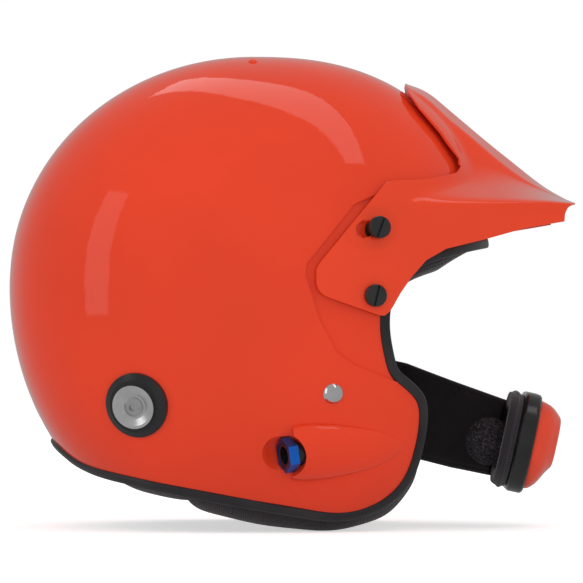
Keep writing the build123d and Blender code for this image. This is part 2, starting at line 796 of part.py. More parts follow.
def socket_contacts():
    """Round contact block behind the barrel."""
    block = drill(port_plane, barrel_radius * 0.8, socket_length + socket_flange)
    return block - drill(port_plane, barrel_radius, socket_length)


save(port_nut(), "port_nut")
save(socket_body(), "socket_body")
save(socket_contacts(), "socket_contacts")


# Chin strap
def strap_rivet():
    dome_radius = (rivet_radius**2 + rivet_rise**2) / (2 * rivet_rise)
    dome = rivet_plane * Pos(0, 0, rivet_rise - dome_radius) * Sphere(dome_radius)
    head = (dome & drill(rivet_plane, rivet_radius, rivet_rise / 2, rivet_rise)) - body(seat_gap / 4)
    return head + drill(rivet_line, rivet_shank_radius, washer_face + 2 * rivet_washer, rivet_rise / 3)


def rivet_washer_piece():
    ring = Circle(rivet_washer_radius) - Circle(rivet_shank_radius + seat_gap / 4)
    return rivet_line * Pos(0, 0, -washer_face - rivet_washer) * extrude(ring, amount=rivet_washer)


save(both_sides(strap_rivet()), "strap_rivets")
save(both_sides(rivet_washer_piece()), "rivet_washers")

# Ear cups, cushions and speakers
cup_near = ear_inner + ear_cushion_depth


def ear_cup():
    shell_cup = oval(ear_half_length, ear_half_height, cup_near, cup_outer)
    inner_length, inner_height = ear_half_length - ear_cup_wall, ear_half_height - ear_cup_wall
    return shell_cup - oval(inner_length, inner_height, cup_near - overrun, cup_outer - ear_cup_wall)


def ear_cushion():
    """Oval ring cushion with rounded faces, just clear of the cup's rim."""
    near, far = ear_inner, cup_near - soft_gap
    ring = oval(ear_half_length + ear_cup_wall, ear_half_height + ear_cup_wall, near, far)
    ring = fillet(ring.edges(), (far - near) / 3)
    return ring - oval(ear_half_length / 2, ear_half_height / 2, near - overrun, far + overrun)


def speaker():
    back = cup_outer - ear_cup_wall - seat_gap
    basket = Plane(origin=(ear_x, -back, ear_z), x_dir=(1, 0, 0), z_dir=(0, 1, 0)) * Cylinder(
        speaker_radius, speaker_depth, align=(Align.CENTER, Align.CENTER, Align.MIN)
    )
    return chamfer(basket.edges().sort_by(Axis.Y)[-1], speaker_depth / 3)


save(both_sides(ear_cup()), "ear_cups")
save(both_sides(ear_cushion()), "ear_cushions")
save(both_sides(speaker()), "speakers")

# Boom: base and pin at the left cheek, stiff core in a fabric cover
arm_outline_shares = [
    (0.454, -0.448), (0.567, -0.319), (0.595, -0.313), (0.830, -0.399), (1.075, -0.493),
    (1.040, -0.785), (1.010, -0.792), (0.851, -0.767), (0.697, -0.742), (0.596, -0.685), (0.454, -0.598),
]


def arm_area(inset):
    """Prism over the arm seen from the side, drawn in by an inset."""
    points = side_points(arm_outline_shares)
    root = ThreePointArc(points[-1], (2 * points[0][0] - boom_pivot_x, boom_pivot_z), points[0])
    face = make_face(Polyline(*points) + root)
    return extrude(Plane.XZ * (offset(face, amount=-inset) if inset else face), amount=span, both=True)


tilt = math.radians(mouth_tilt)
mouth_plane = Plane(origin=(mouth_x, 0, mouth_z), x_dir=(0, 1, 0), z_dir=(math.cos(tilt), 0, -math.sin(tilt)))
gasket_back = -0.38 * gasket_depth
gasket_front = gasket_back + gasket_depth


def ahead_of_mouth(depth):
    """Block of everything ahead of a plane across the mouthpiece's own axis."""
    block = Box(span, span, span, align=(Align.CENTER, Align.CENTER, Align.MIN))
    return mouth_plane * Pos(0, 0, depth) * block


def tongue(thickness, half_height):
    """Narrow end of the stiff core, from inside the cover to the mouthpiece."""
    strip = arm_strip(thickness, mouth_z - half_height, mouth_z + half_height)
    start_x = boom_pivot_x + tongue_start_share * (mouth_x - boom_pivot_x)
    start = Pos(start_x, 0, 0) * Box(span, 2 * span, 4 * span, align=(Align.MAX, Align.CENTER, Align.CENTER))
    return strip - start - ahead_of_mouth(gasket_front - mouth_wall - seat_gap)


tongue_half = mouth_half_height / 3
pad_front = gasket_back - soft_gap / 2
pad_back = pad_front - mouth_pad_depth
core_room = arm_strip(arm_core_thickness + seat_gap) & arm_area(arm_core_inset - seat_gap)
core_room = core_room + tongue(arm_core_thickness + seat_gap, tongue_half + seat_gap)
pin_line = Plane(origin=(boom_pivot_x, base_inner, boom_pivot_z), x_dir=(1, 0, 0), z_dir=(0, -1, 0))


def arm_cover():
    cover = (arm_strip(arm_cover_thickness) & arm_area(0.0)) - ahead_of_mouth(pad_back - soft_gap)
    return cover - core_room - drill(pin_line, boom_pin_radius + overrun, overrun, 3 * arm_cover_thickness)


def boom_arm():
    """Stiff strip inside the cover, with a tongue that reaches into the mouthpiece."""
    core = (arm_strip(arm_core_thickness) & arm_area(arm_core_inset)) - ahead_of_mouth(pad_back - soft_gap)
    core = core + tongue(arm_core_thickness, tongue_half)
    return core - drill(pin_line, boom_pin_radius + boom_bearing_gap, overrun, 3 * arm_cover_thickness)


def boom_base():
    return base_room - drill(pin_line, boom_pin_radius, 2 * base_thickness, overrun)


def boom_pin():
    """Shouldered pin with a low head on the inner side of the arm."""
    length = arm_cover_thickness / 2 + arm_core_thickness / 2 + arm_clearance + seat_gap
    shaft = drill(pin_line, boom_pin_radius, base_thickness, length)
    head = drill(pin_line, boom_pin_radius + overrun - seat_gap, -length, length + seat_gap * 5)
    return shaft + head


# Mouthpiece in its own leaning frame: Z forward, X to the left, Y up
def mouth_face(inset, lift=0.0):
    half_w, half_h = mouth_half_width - inset, mouth_half_height - inset
    return Pos(0, lift, 0) * RectangleRounded(2 * half_w, 2 * half_h, half_h * 0.8)


def mouthpiece_gasket():
    """Glossy cup ring, closed in front and open to the mouth."""
    cup = extrude(Pos(0, 0, gasket_back) * mouth_face(0.0), amount=gasket_depth)
    cup = fillet(cup.edges(), mouth_wall)
    hollow_depth = gasket_depth + overrun - mouth_wall
    hollow = extrude(Pos(0, 0, gasket_back - overrun) * mouth_face(2 * mouth_wall), amount=hollow_depth)
    return mouth_plane * (cup - hollow)


def mouthpiece_pad():
    """Soft ring on the mouth side, rounded towards the mouth."""
    ring = extrude(Pos(0, 0, pad_back) * mouth_face(mouth_wall / 2), amount=mouth_pad_depth)
    ring = fillet(ring.edges().group_by(Axis.Z)[0], mouth_pad_depth / 2)
    opening = extrude(Pos(0, 0, 2 * pad_back) * mouth_face(5 * mouth_wall), amount=overrun - 2 * pad_back)
    return mouth_plane * (ring - opening)


def mouthpiece_cover():
    """Faceted cover in front of the gasket, hollow behind."""

    def block(wall):
        base = Pos(0, 0, gasket_front) * mouth_face(1.4 * mouth_wall + wall)
        face_w = mouth_half_width * 0.56 - wall
        face_h = mouth_half_height * 0.47 - wall
        top = Pos(0, mouth_half_height * 0.12, gasket_front + cover_depth - wall) * RectangleRounded(
            2 * face_w, 2 * face_h, face_h * 0.8
        )
        return loft([base, top])

    return mouth_plane * (block(0.0) - block(mouth_wall))


bend_slope = (arm_bends[2][1] - arm_bends[1][1]) / (arm_bends[2][0] - arm_bends[1][0])
ball_stand_off = (arm_cover_thickness / 2 + foam_ball_radius + soft_gap) * math.hypot(1, bend_slope)
ball_y = arm_bends[1][1] + bend_slope * (foam_ball_x - arm_bends[1][0]) - ball_stand_off
ball_centre = (foam_ball_x, ball_y, foam_ball_z)
stem_line = Plane(origin=ball_centre, x_dir=(1, 0, 0), z_dir=(0, 1, 0))


def microphone_capsule():
    return drill(stem_line, capsule_radius, capsule_length / 2, capsule_length / 2)


def microphone_bracket():
    stem = drill(stem_line, capsule_radius / 2, -capsule_length / 2, foam_ball_radius + arm_cover_thickness)
    return stem - arm_strip(arm_cover_thickness)


def microphone_foam():
    ball = Pos(*ball_centre) * Sphere(foam_ball_radius)
    half_room = capsule_length / 2 + soft_gap
    room = drill(stem_line, capsule_radius + soft_gap, half_room, half_room)
    return ball - room - drill(stem_line, capsule_radius / 2 + soft_gap, 0.0, 2 * foam_ball_radius)


save(arm_cover(), "arm_cover")
save(boom_arm(), "boom_arm")
save(boom_base(), "boom_base")
save(boom_pin(), "boom_pin")
save(mouthpiece_gasket(), "mouthpiece_gasket")
save(mouthpiece_pad(), "mouthpiece_pad")
save(mouthpiece_cover(), "mouthpiece_cover")
save(microphone_capsule(), "microphone_capsule")
save(microphone_bracket(), "microphone_bracket")
save(microphone_foam(), "microphone_foam")

# Chin strap webbing, tucked up inside
strap_hole = drill(rivet_line, rivet_shank_radius + seat_gap, 4 * shell_wall)
save(strap_run(strap_line[:6], strap_thickness, strap_width) - strap_hole, "chin_strap_right")
left_line = strap_line + [(-half_width * 0.18, strap_line[-1][1] + strap_thickness)]
left_strap = strap_run(left_line, strap_thickness, strap_width) - strap_hole
save(mirror(left_strap, about=Plane.XZ), "chin_strap_left")
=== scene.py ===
import bmesh
import bpy
import math
import numpy as np
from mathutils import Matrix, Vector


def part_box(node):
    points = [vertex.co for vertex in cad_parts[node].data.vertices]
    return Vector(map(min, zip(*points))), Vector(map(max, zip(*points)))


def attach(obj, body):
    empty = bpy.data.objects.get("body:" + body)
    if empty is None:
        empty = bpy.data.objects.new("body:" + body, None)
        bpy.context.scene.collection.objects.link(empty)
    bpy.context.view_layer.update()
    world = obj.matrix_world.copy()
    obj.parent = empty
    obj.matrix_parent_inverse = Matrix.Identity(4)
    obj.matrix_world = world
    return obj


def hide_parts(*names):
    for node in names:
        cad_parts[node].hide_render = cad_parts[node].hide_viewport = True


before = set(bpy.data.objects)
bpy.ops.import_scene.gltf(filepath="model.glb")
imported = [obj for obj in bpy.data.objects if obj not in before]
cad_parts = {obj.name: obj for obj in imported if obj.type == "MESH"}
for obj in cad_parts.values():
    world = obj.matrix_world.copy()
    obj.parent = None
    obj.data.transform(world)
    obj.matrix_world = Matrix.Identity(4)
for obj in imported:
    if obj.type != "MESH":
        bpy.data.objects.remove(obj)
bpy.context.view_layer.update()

# Outer shell. A laminated shell with its arm recess, port fairing and crown bumps, sprayed orange and
# clear coated. The solid's own shape is right, so it stays and takes the paint.
crown_x, belt, crown_rise = -0.022, 0.144, 0.1374
front_reach, rear_reach, half_width = 0.141, 0.147, 0.124
end_tuck, side_tuck = 0.016, 0.041
drops = (belt + end_tuck, belt + end_tuck, belt + side_tuck)
upper_powers = (2.4, 2.03, 2.25)
lower_powers = (3.0, 2.03, 2.6)
plan_power = 2.45
shell_wall = 0.0045
shell_orange = (0.87, 0.058, 0.018, 1)


def bulge(share, power):
    """Height of a unit superellipse of this power at a share of its width."""
    return np.clip(1 - np.abs(share) ** power, 0, None) ** (1 / power)


def unit(ways):
    """Directions of length one."""
    return ways / np.linalg.norm(ways, axis=-1, keepdims=True)


def signed_power(value, power):
    """Power of the value's size, with the value's sign."""
    return np.sign(value) * np.abs(value) ** power


def ring_reaches(z, out):
    """Front, rear and side reach of the shell's level ring at height z, moved outwards."""
    high = np.clip((z - belt) / (crown_rise + out), 0, 1)
    reaches = []
    own = (front_reach, rear_reach, half_width)
    for reach, drop, above, below in zip(own, drops, upper_powers, lower_powers):
        lower = reach * bulge(np.clip((belt - z) / drop, 0, 1), below) + out
        reaches.append(np.where(z > belt, (reach + out) * bulge(high, above), lower))
    return reaches


def ring_point(turn, z, out):
    """Point of the level ring at a turn from the front: a superellipse with its own front and rear reach."""
    front, rear, side = ring_reaches(z, out)
    ahead, across = np.cos(turn), np.sin(turn)
    reach = np.where(ahead > 0, front, rear)
    x = crown_x + reach * signed_power(ahead, 2 / plan_power)
    y = side * signed_power(across, 2 / plan_power)
    return np.stack(np.broadcast_arrays(x, y, z), -1)


def ring_normal(turn, z, out):
    """Outward normal: the cross product of small steps along the ring and up it."""
    along = ring_point(turn + 0.02, z, out) - ring_point(turn - 0.02, z, out)
    up = ring_point(turn, z + 0.0005, out) - ring_point(turn, z - 0.0005, out)
    return unit(np.cross(along, up))


def reach_share(x, z, out):
    """Share of the front or rear reach at which the ring at height z passes x, and the ring's side reach."""
    front, rear, side = ring_reaches(z, out)
    return (x - crown_x) / np.where(x > crown_x, front, rear), side


def ring_turn(x, z, out, side):
    """Turn at which the ring at height z passes x, on one side."""
    share = np.clip(reach_share(x, z, out)[0], -1, 1)
    return side * np.arccos(signed_power(share, plan_power / 2))


def side_half_width(x, z, out):
    """Half width of the shell at a place in the side view."""
    share, side = reach_share(x, z, out)
    return side * bulge(share, plan_power)


def new_material(name, **values):
    """Material, its tree and its principled shader, whose inputs take the values; underscores are spaces."""
    material = bpy.data.materials.new(name)
    material.use_nodes = True
    shader = material.node_tree.nodes["Principled BSDF"]
    for socket, value in values.items():
        shader.inputs[socket.replace("_", " ")].default_value = value
    return material, material.node_tree, shader


def new_node(tree, kind, **values):
    """Node of one kind, whose inputs take the values; underscores stand for spaces."""
    node = tree.nodes.new("ShaderNode" + kind)
    for socket, value in values.items():
        node.inputs[socket.replace("_", " ")].default_value = value
    return node


def place(tree, scale=(1, 1, 1), kind="Object"):
    """Coordinates of the piece itself, scaled."""
    mapping = new_node(tree, "Mapping", Scale=scale)
    tree.links.new(new_node(tree, "TexCoord").outputs[kind], mapping.inputs["Vector"])
    return mapping.outputs["Vector"]


def texture(tree, kind, vector, **values):
    """Texture node of one kind, led by coordinates."""
    node = new_node(tree, kind, **values)
    tree.links.new(vector, node.inputs["Vector"])
    return node


def noise(tree, vector, size, detail=3.0):
    """Even cloudy noise from 0 to 1."""
    return texture(tree, "TexNoise", vector, Scale=size, Detail=detail).outputs["Fac"]


def ramp(tree, factor, low, high, start, end):
    """Colour that runs from low to high between two values of a factor."""
    band = new_node(tree, "ValToRGB")
    for stop, position, colour in zip(band.color_ramp.elements, (start, end), (low, high)):
        stop.position, stop.color = position, colour
    tree.links.new(factor, band.inputs["Fac"])
    return band.outputs["Color"]


def shade(colour, factor):
    """The colour made lighter or darker by a factor."""
    return tuple(c * factor for c in colour[:3]) + (1,)


def tone(tree, shader, factor, colour, low, high, start=0.35, end=0.65):
    """Base colour that runs from its low to its high shade between two values of a factor."""
    shades = ramp(tree, factor, shade(colour, low), shade(colour, high), start, end)
    tree.links.new(shades, shader.inputs["Base Color"])


def relief(tree, height, strength, depth, onto, socket="Normal", invert=False):
    """Relief from a height, strength and real depth, led to a node's input that takes a normal."""
    node = new_node(tree, "Bump", Strength=strength, Distance=depth)
    node.invert = invert
    tree.links.new(height, node.inputs["Height"])
    tree.links.new(node.outputs["Normal"], onto.inputs[socket])
    return node


def paint(name, colour):
    """Sprayed colour under clear lacquer: faint mottling, and a very shallow orange peel in the lacquer."""
    material, tree, shader = new_material(
        name, Roughness=0.42, Specular_IOR_Level=0.0, Coat_Weight=1.0, Coat_Roughness=0.045, Coat_IOR=1.4
    )
    vector = place(tree)
    mottle = noise(tree, vector, 9.0, 4.0)
    tone(tree, shader, mottle, colour, 0.95, 1.04)
    peel = noise(tree, vector, 420.0, 2.0)
    relief(tree, peel, 0.05, 0.0004, shader, "Coat Normal")
    return material


def dress(material, *nodes):
    """Give CAD nodes one material in place of all their own."""
    for node in nodes:
        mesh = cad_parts[node].data
        mesh.materials.clear()
        mesh.materials.append(material)


dress(paint("shell_orange_paint", shell_orange), "outer_shell")


# Edge trim. An extruded rubber channel pushed over the shell's edge all round, its bulb outermost.
# One rounded section carried along the rim, which lies on the shell's own surface.
rim_shares = (
    (-0.952, -0.542), (-0.808, -0.647), (-0.714, -0.711), (-0.535, -0.765), (-0.259, -0.818),
    (-0.020, -0.863), (0.199, -0.901), (0.362, -0.918), (0.475, -0.896), (0.564, -0.847),
    (0.628, -0.771), (0.665, -0.667), (0.684, -0.556), (0.674, -0.472), (0.624, -0.417),
    (0.575, -0.372), (0.542, -0.285), (0.525, -0.181), (0.532, -0.069), (0.567, 0.022),
    (0.638, 0.096), (0.752, 0.150), (0.865, 0.184), (0.986, 0.211), (1.220, 0.247),
)
trim_thickness = 0.0018
trim_width = 0.0064
trim_black = (0.012, 0.010, 0.013, 1)


def side_view(shares):
    """Places in the side view, in metres, from shares of the shell's reaches and heights."""
    shares = np.array(shares, float)
    x = crown_x + shares[:, 0] * np.where(shares[:, 0] > 0, front_reach, rear_reach)
    z = belt + shares[:, 1] * np.where(shares[:, 1] > 0, crown_rise, belt)
    return np.stack([x, z], -1)


def run_along(points):
    """Length run from the first point to each of them."""
    return np.concatenate([[0], np.cumsum(np.linalg.norm(np.diff(points, axis=0), axis=1))])


def smooth_line(points, count):
    """Cubic curve through points, free at its ends; its bends at the points solve three-term equations."""
    points = np.array(points, float)
    knots = run_along(points)
    gaps = np.diff(knots)
    inner = np.arange(1, len(knots) - 1)
    system = np.eye(len(knots))
    system[inner, inner - 1] = gaps[:-1]
    system[inner, inner] = 2 * (gaps[:-1] + gaps[1:])
    system[inner, inner + 1] = gaps[1:]
    slopes = np.diff(points, axis=0) / gaps[:, None]
    right = np.zeros_like(points)
    right[1:-1] = 6 * np.diff(slopes, axis=0)
    bends = np.linalg.solve(system, right)
    at = np.linspace(0, knots[-1], count)
    i = np.clip(np.searchsorted(knots, at) - 1, 0, len(gaps) - 1)
    gap = gaps[i][:, None]
    b = ((at - knots[i]) / gaps[i])[:, None]
    a = 1 - b
    bow = ((a**3 - a) * bends[i] + (b**3 - b) * bends[i + 1]) * gap**2 / 6
    return a * points[i] + b * points[i + 1] + bow


def closed_rim(count):
    """Stations all round the rim on the shell: point, outward normal and the way off the shell."""
    x, z = smooth_line(side_view(rim_shares), 6000).T
    held = np.abs(reach_share(x, z, 0.0)[0]) < 1
    x, z = x[held], z[held]
    turn = ring_turn(x, z, 0.0, -1)
    turn, z = np.concatenate([turn, -turn[::-1]]), np.concatenate([z, z[::-1]])
    point = ring_point(turn, z, 0.0)
    closed = np.vstack([point, point[:1]])
    run = run_along(closed)
    at = np.linspace(0, run[-1], count, endpoint=False)
    point = np.stack([np.interp(at, run, closed[:, k]) for k in range(3)], -1)
    height = point[:, 2]
    share, side = reach_share(point[:, 0], height, 0.0)
    turn = np.arctan2(signed_power(point[:, 1] / side, plan_power / 2), signed_power(share, plan_power / 2))
    normal = ring_normal(turn, height, 0.0)
    along = np.roll(point, -2, axis=0) - np.roll(point, 2, axis=0)
    off = np.cross(normal, unit(along - normal * np.sum(along * normal, axis=1, keepdims=True)))
    return point, normal, off * -np.sign(off[np.argmin(height), 2])


def grid_quads(rows, columns):
    """Corners of the faces between a grid's rows and columns."""
    index = np.arange(rows * columns).reshape(rows, columns)
    return np.stack([index[:-1, :-1], index[1:, :-1], index[1:, 1:], index[:-1, 1:]], -1).reshape(-1, 4)


def put(name, data):
    """Object with this data, in the scene."""
    held = bpy.data.objects.new(name, data)
    bpy.context.scene.collection.objects.link(held)
    return held


def joined_mesh(name, points, quads, lengths=None, reach=1e-6, sliver=1e-7):
    """Piece from points and faces: points within reach are joined, slivers go, and the faces turn outwards.
    lengths gives each point's place on the flat cloth, in metres, kept as the piece's UV map."""
    mesh = bpy.data.meshes.new(name)
    mesh.from_pydata(points.tolist(), [], quads.tolist())
    if lengths is not None:
        layer = mesh.uv_layers.new(name="cloth")
        layer.data.foreach_set("uv", lengths.reshape(-1, 2)[quads.ravel()].astype(np.float32).ravel())
    joined = bmesh.new()
    joined.from_mesh(mesh)
    bmesh.ops.remove_doubles(joined, verts=joined.verts, dist=reach)
    bmesh.ops.dissolve_degenerate(joined, edges=joined.edges, dist=sliver)
    loose = [vertex for vertex in joined.verts if not vertex.link_faces]
    bmesh.ops.delete(joined, geom=loose, context="VERTS")
    bmesh.ops.recalc_face_normals(joined, faces=joined.faces)
    joined.to_mesh(mesh)
    joined.free()
    mesh.shade_smooth()
    return put(name, mesh)


def skin(name, grid, lengths=None):
    """Mesh over a grid of points, whose equal points at seams and poles are joined."""
    return joined_mesh(name, grid.reshape(-1, 3), grid_quads(*grid.shape[:2]), lengths)


def finish_piece(piece, material, slot, body, *nodes):
    """Material, record slot (not used), body and the CAD nodes that the piece stands for."""
    piece.data.materials.append(material)
    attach(piece, body)
    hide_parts(*nodes)


recess_depth = 0.0016
recess_shares = (
    (0.596, 0.429), (0.413, 0.345), (0.218, 0.092), (0.214, 0.044), (0.235, -0.017), (0.269, -0.133),
    (0.341, -0.267), (0.413, -0.319), (0.575, -0.383), (0.830, -0.458), (1.220, -0.458), (1.220, 0.429),
)


def recess_share(x, z):
    """1 inside the recess for the peak's arms and 0 outside, by counting a ray's crossings of its sides."""
    corners = side_view(recess_shares)
    ends = np.roll(corners, -1, axis=0)
    x, z = np.asarray(x)[..., None], np.asarray(z)[..., None]
    crosses = (corners[:, 1] > z) != (ends[:, 1] > z)
    rise = np.where(ends[:, 1] == corners[:, 1], 1.0, ends[:, 1] - corners[:, 1])
    ahead = x < corners[:, 0] + (z - corners[:, 1]) * (ends[:, 0] - corners[:, 0]) / rise
    return (np.sum(crosses & ahead, axis=-1) % 2).astype(float)


def rounded_section(low, high, power, count):
    """Closed superellipse section that fills the box from low to high."""
    low, high = np.array(low), np.array(high)
    turn = np.linspace(0, 2 * np.pi, count + 1)
    loop = signed_power(np.stack([np.cos(turn), np.sin(turn)], -1), 2 / power)
    loop[-1] = loop[0]
    return (low + high) / 2 + loop * (high - low) / 2


def swept(centres, first, second, sections):
    """Sections, given across and up, at stations with two directions each."""
    return centres[:, None] + first[:, None] * sections[..., :1] + second[:, None] * sections[..., 1:]


def uneven_gloss(tree, shader, factor, low, high):
    """Roughness between two values as a factor runs from 0 to 1."""
    span = new_node(tree, "MapRange", To_Min=low, To_Max=high)
    tree.links.new(factor, span.inputs["Value"])
    tree.links.new(span.outputs["Result"], shader.inputs["Roughness"])


def rubber(name, colour, roughness=0.42, grain=900.0, depth=0.00004):
    """Moulded or extruded black rubber: fine grain, a soft grey bloom that comes and goes."""
    material, tree, shader = new_material(name)
    vector = place(tree)
    bloom = noise(tree, vector, 38.0, 5.0)
    bloomed = tuple(c + 0.012 for c in colour[:3]) + (1,)
    tree.links.new(ramp(tree, bloom, colour, bloomed, 0.35, 0.65), shader.inputs["Base Color"])
    uneven_gloss(tree, shader, bloom, roughness - 0.06, roughness + 0.08)
    relief(tree, noise(tree, vector, grain, 2.0), 0.4, depth, shader)
    return material


rim_point, rim_normal, rim_off = closed_rim(760)
trim_section = rounded_section((-shell_wall - trim_thickness, 0.0), (trim_thickness, trim_width), 3.6, 20)
trim_sections = np.repeat(trim_section[None], len(rim_point), 0)
outer_share = np.clip((trim_section[:, 0] + shell_wall) / (shell_wall + trim_thickness), 0, 1)
trim_sections[..., 0] -= recess_depth * recess_share(rim_point[:, 0], rim_point[:, 2])[:, None] * outer_share
trim_grid = swept(rim_point, rim_normal, rim_off, trim_sections)
edge_trim = skin("rim_trim", np.concatenate([trim_grid, trim_grid[:1]]))
finish_piece(edge_trim, rubber("trim_rubber", trim_black), "trim_rubber", "helmet", "edge_trim")


# Foam liners, one for the crown and one for each cheek. Black expanded polystyrene, moulded from fused
# beads to the shape of the head and fixed inside the shell with tape.
liner_black = (0.020, 0.020, 0.021, 1)


def cells(tree, vector, size):
    """Distance from the middle of the nearest of many cells."""
    return texture(tree, "TexVoronoi", vector, Scale=size).outputs["Distance"]


def bead_foam(name, colour, bead):
    """Fused beads: cells with darker joints between them, each cell slightly domed."""
    material, tree, shader = new_material(name, Roughness=0.75)
    domes = cells(tree, place(tree), 1 / bead)
    tone(tree, shader, domes, colour, 1.5, 0.5, 0.1, 0.8)
    relief(tree, domes, 0.7, bead / 6, shader, invert=True)
    return material


liner_foam = bead_foam("liner_bead_foam", liner_black, 0.0032)
dress(liner_foam, "crown_liner", "cheek_liner_right", "cheek_liner_left")


# Brow pad. A long cushion of soft foam sewn into brushed knit. It follows the edge over the brow, tucked
# in under the trim.
knit_black = (0.030, 0.026, 0.033, 1)


def wave(tree, vector, direction, size, distortion=0.0):
    """Bands of light and dark along one direction."""
    bands = texture(tree, "TexWave", vector, Scale=size, Distortion=distortion, Detail_Scale=2.0)
    bands.bands_direction = direction
    return bands.outputs["Fac"]


def combined(tree, operation, first, second):
    """Sum, product or other result of two values."""
    node = new_node(tree, "Math")
    node.operation = operation
    tree.links.new(first, node.inputs[0])
    tree.links.new(second, node.inputs[1])
    return node.outputs["Value"]


def knit(name, colour, pitch, roughness=0.88, sheen=0.35):
    """Knitted cloth on the piece's flat lengths: rows of stitches, fuzz, and slow wear of the colour."""
    material, tree, shader = new_material(name, Roughness=roughness, Sheen_Weight=sheen, Sheen_Roughness=0.5)
    flat = place(tree, (1 / pitch, 1 / pitch, 1), "UV")
    courses, wales = (wave(tree, flat, way, 0.32, 1.2) for way in "XY")
    stitch = combined(tree, "MULTIPLY", courses, wales)
    vector = place(tree)
    wear = noise(tree, vector, 45.0, 4.0)
    mixed = new_node(tree, "Mix", Factor=1.0)
    mixed.data_type = "RGBA"
    mixed.blend_type = "MULTIPLY"
    yarn = ramp(tree, stitch, shade(colour, 0.55), shade(colour, 1.5), 0.0, 0.7)
    tree.links.new(yarn, mixed.inputs["A"])
    worn = ramp(tree, wear, (0.8, 0.8, 0.8, 1), (1.15, 1.12, 1.15, 1), 0.3, 0.7)
    tree.links.new(worn, mixed.inputs["B"])
    tree.links.new(mixed.outputs["Result"], shader.inputs["Base Color"])
    fuzz = noise(tree, vector, 1400.0, 4.0)
    upper = relief(tree, fuzz, 0.35, 0.00025, shader)
    relief(tree, stitch, 0.6, pitch / 3, upper)
    return material


pad_knit = knit("pad_knit", knit_black, 0.0011)
pad_out = -0.0068
comfort_in = -0.0429
brow_drop, brow_seam = 0.0144, 0.0005
brow_rear_x, brow_end_z = 0.0545, belt - 0.004
brow_front_x, brow_front_run, brow_front_share = 0.118, 0.026, 0.45


def flat_lengths(grid):
    """Lengths along and round a grid, measured on its middle row and column."""
    along, around = run_along(grid.mean(1)), run_along(grid[len(grid) // 2])
    return np.stack(np.broadcast_arrays(along[:, None], around[None]), -1)


def cushion(name, grid, material, slot, body, node):
    """Soft piece over a grid, which stands for one CAD node."""
    piece = skin(name, grid, flat_lengths(grid))
    finish_piece(piece, material, slot, body, node)


brow = np.roll(np.arange(len(rim_point)), -np.argmin(rim_point[:, 0]))
brow = brow[(rim_point[brow, 0] > brow_rear_x) & (rim_point[brow, 2] > brow_end_z)]
shallow = np.clip((brow_front_x - rim_point[brow, 0]) / brow_front_run, 0, 1)[:, None]
brow_off = rim_off[brow] * (brow_front_share + (1 - brow_front_share) * shallow)
brow_middle = np.array([(comfort_in + pad_out) / 2, brow_drop / 2])
brow_section = rounded_section((comfort_in, brow_seam), (pad_out, brow_drop), 2.7, 32)
brow_size = bulge(np.linspace(-1, 1, len(brow)), 6.0)[:, None, None]
brow_sections = brow_middle + (brow_section - brow_middle) * brow_size
brow_grid = swept(rim_point[brow], rim_normal[brow], brow_off, brow_sections)
cushion("brow_cushion", brow_grid, pad_knit, "pad_fabric", "helmet", "brow_pad")


# Cheek pads. Soft foam in brushed knit, one each side, that fill the room from the cheek foam to the
# face and roll under its lower edge.
cheek_bottom_shares = (
    (-0.287, -0.895), (-0.240, -0.913), (-0.154, -0.933), (0.014, -0.971), (0.191, -0.993),
    (0.298, -1.000), (0.383, -0.992), (0.468, -0.971), (0.553, -0.938), (0.617, -0.883),
    (0.673, -0.808), (0.696, -0.743),
)
cheek_inner, cheek_least, cheek_plump = 0.058, 0.006, 0.0025
cheek_front_x, cheek_rear_x = 0.0745, -0.0625
cheek_top_x = (-0.065, -0.058, 0.018, 0.026, 0.046, 0.052, 0.060, 0.068, 0.076)
cheek_top_z = (0.060, 0.0775, 0.0790, 0.1090, 0.1100, 0.1030, 0.0840, 0.0790, 0.0700)

arm_room_x, arm_room_y, arm_room_run = 0.022, 0.0700, 0.006


def smooth_step(share):
    """0 to 1 with level ends."""
    share = np.clip(share, 0, 1)
    return share**2 * (3 - 2 * share)


def cheek_grid(side):
    """Closed loops at stations along X; each fills the room between the face plane and the shell, from the
    lower line to the upper one. They draw in at both ends, and the left pad leaves room for the arm."""
    lower = smooth_line(side_view(cheek_bottom_shares), 400)
    station = np.sin(np.linspace(-np.pi / 2, np.pi / 2, 120))
    x = (cheek_front_x + cheek_rear_x) / 2 + station * (cheek_front_x - cheek_rear_x) / 2
    low = np.interp(x, lower[:, 0], lower[:, 1])
    high = np.interp(x, cheek_top_x, cheek_top_z)
    loop = rounded_section((-1, -1), (1, 1), 5.0, 72)
    size = bulge(station, 9.0)[:, None]
    middle = (low + high) / 2
    z = middle[:, None] + loop[None, :, 1] * (high - low)[:, None] / 2 * size
    outer = side_half_width(x[:, None] + 0 * z, z, pad_out)
    depth = (loop[None, :, 0] * size + 1) / 2
    plump = cheek_plump * bulge((z - middle[:, None]) / (high - low)[:, None] * 1.9, 2.0) * (1 - depth)
    if side > 0:
        room = smooth_step((x[:, None] - arm_room_x) / arm_room_run)
        outer = outer - np.maximum(outer - arm_room_y, 0) * room
    y = cheek_inner - plump + depth * (np.maximum(outer, cheek_inner + cheek_least) - cheek_inner)
    return np.stack([x[:, None] + 0 * z, side * y, z], -1)


for side, name in ((-1, "right"), (1, "left")):
    grid = cheek_grid(side)
    cushion(f"cheek_cushion_{name}", grid, pad_knit, "pad_fabric", "helmet", f"cheek_pad_{name}")


# Neck roll. Soft foam sewn into a roll of brushed knit, from cheek to cheek round the back of the rim and
# tucked in under the trim.
roll_bottom_shares = (
    (-1.02, -0.545), (-0.808, -0.686), (-0.714, -0.742), (-0.612, -0.764), (-0.558, -0.830),
    (-0.497, -0.854), (-0.424, -0.869), (-0.330, -0.883),
)
neck_end_x, neck_end_z, neck_level, neck_inset, neck_rise = -0.0715, 0.040, 0.045, -0.016, 0.0135


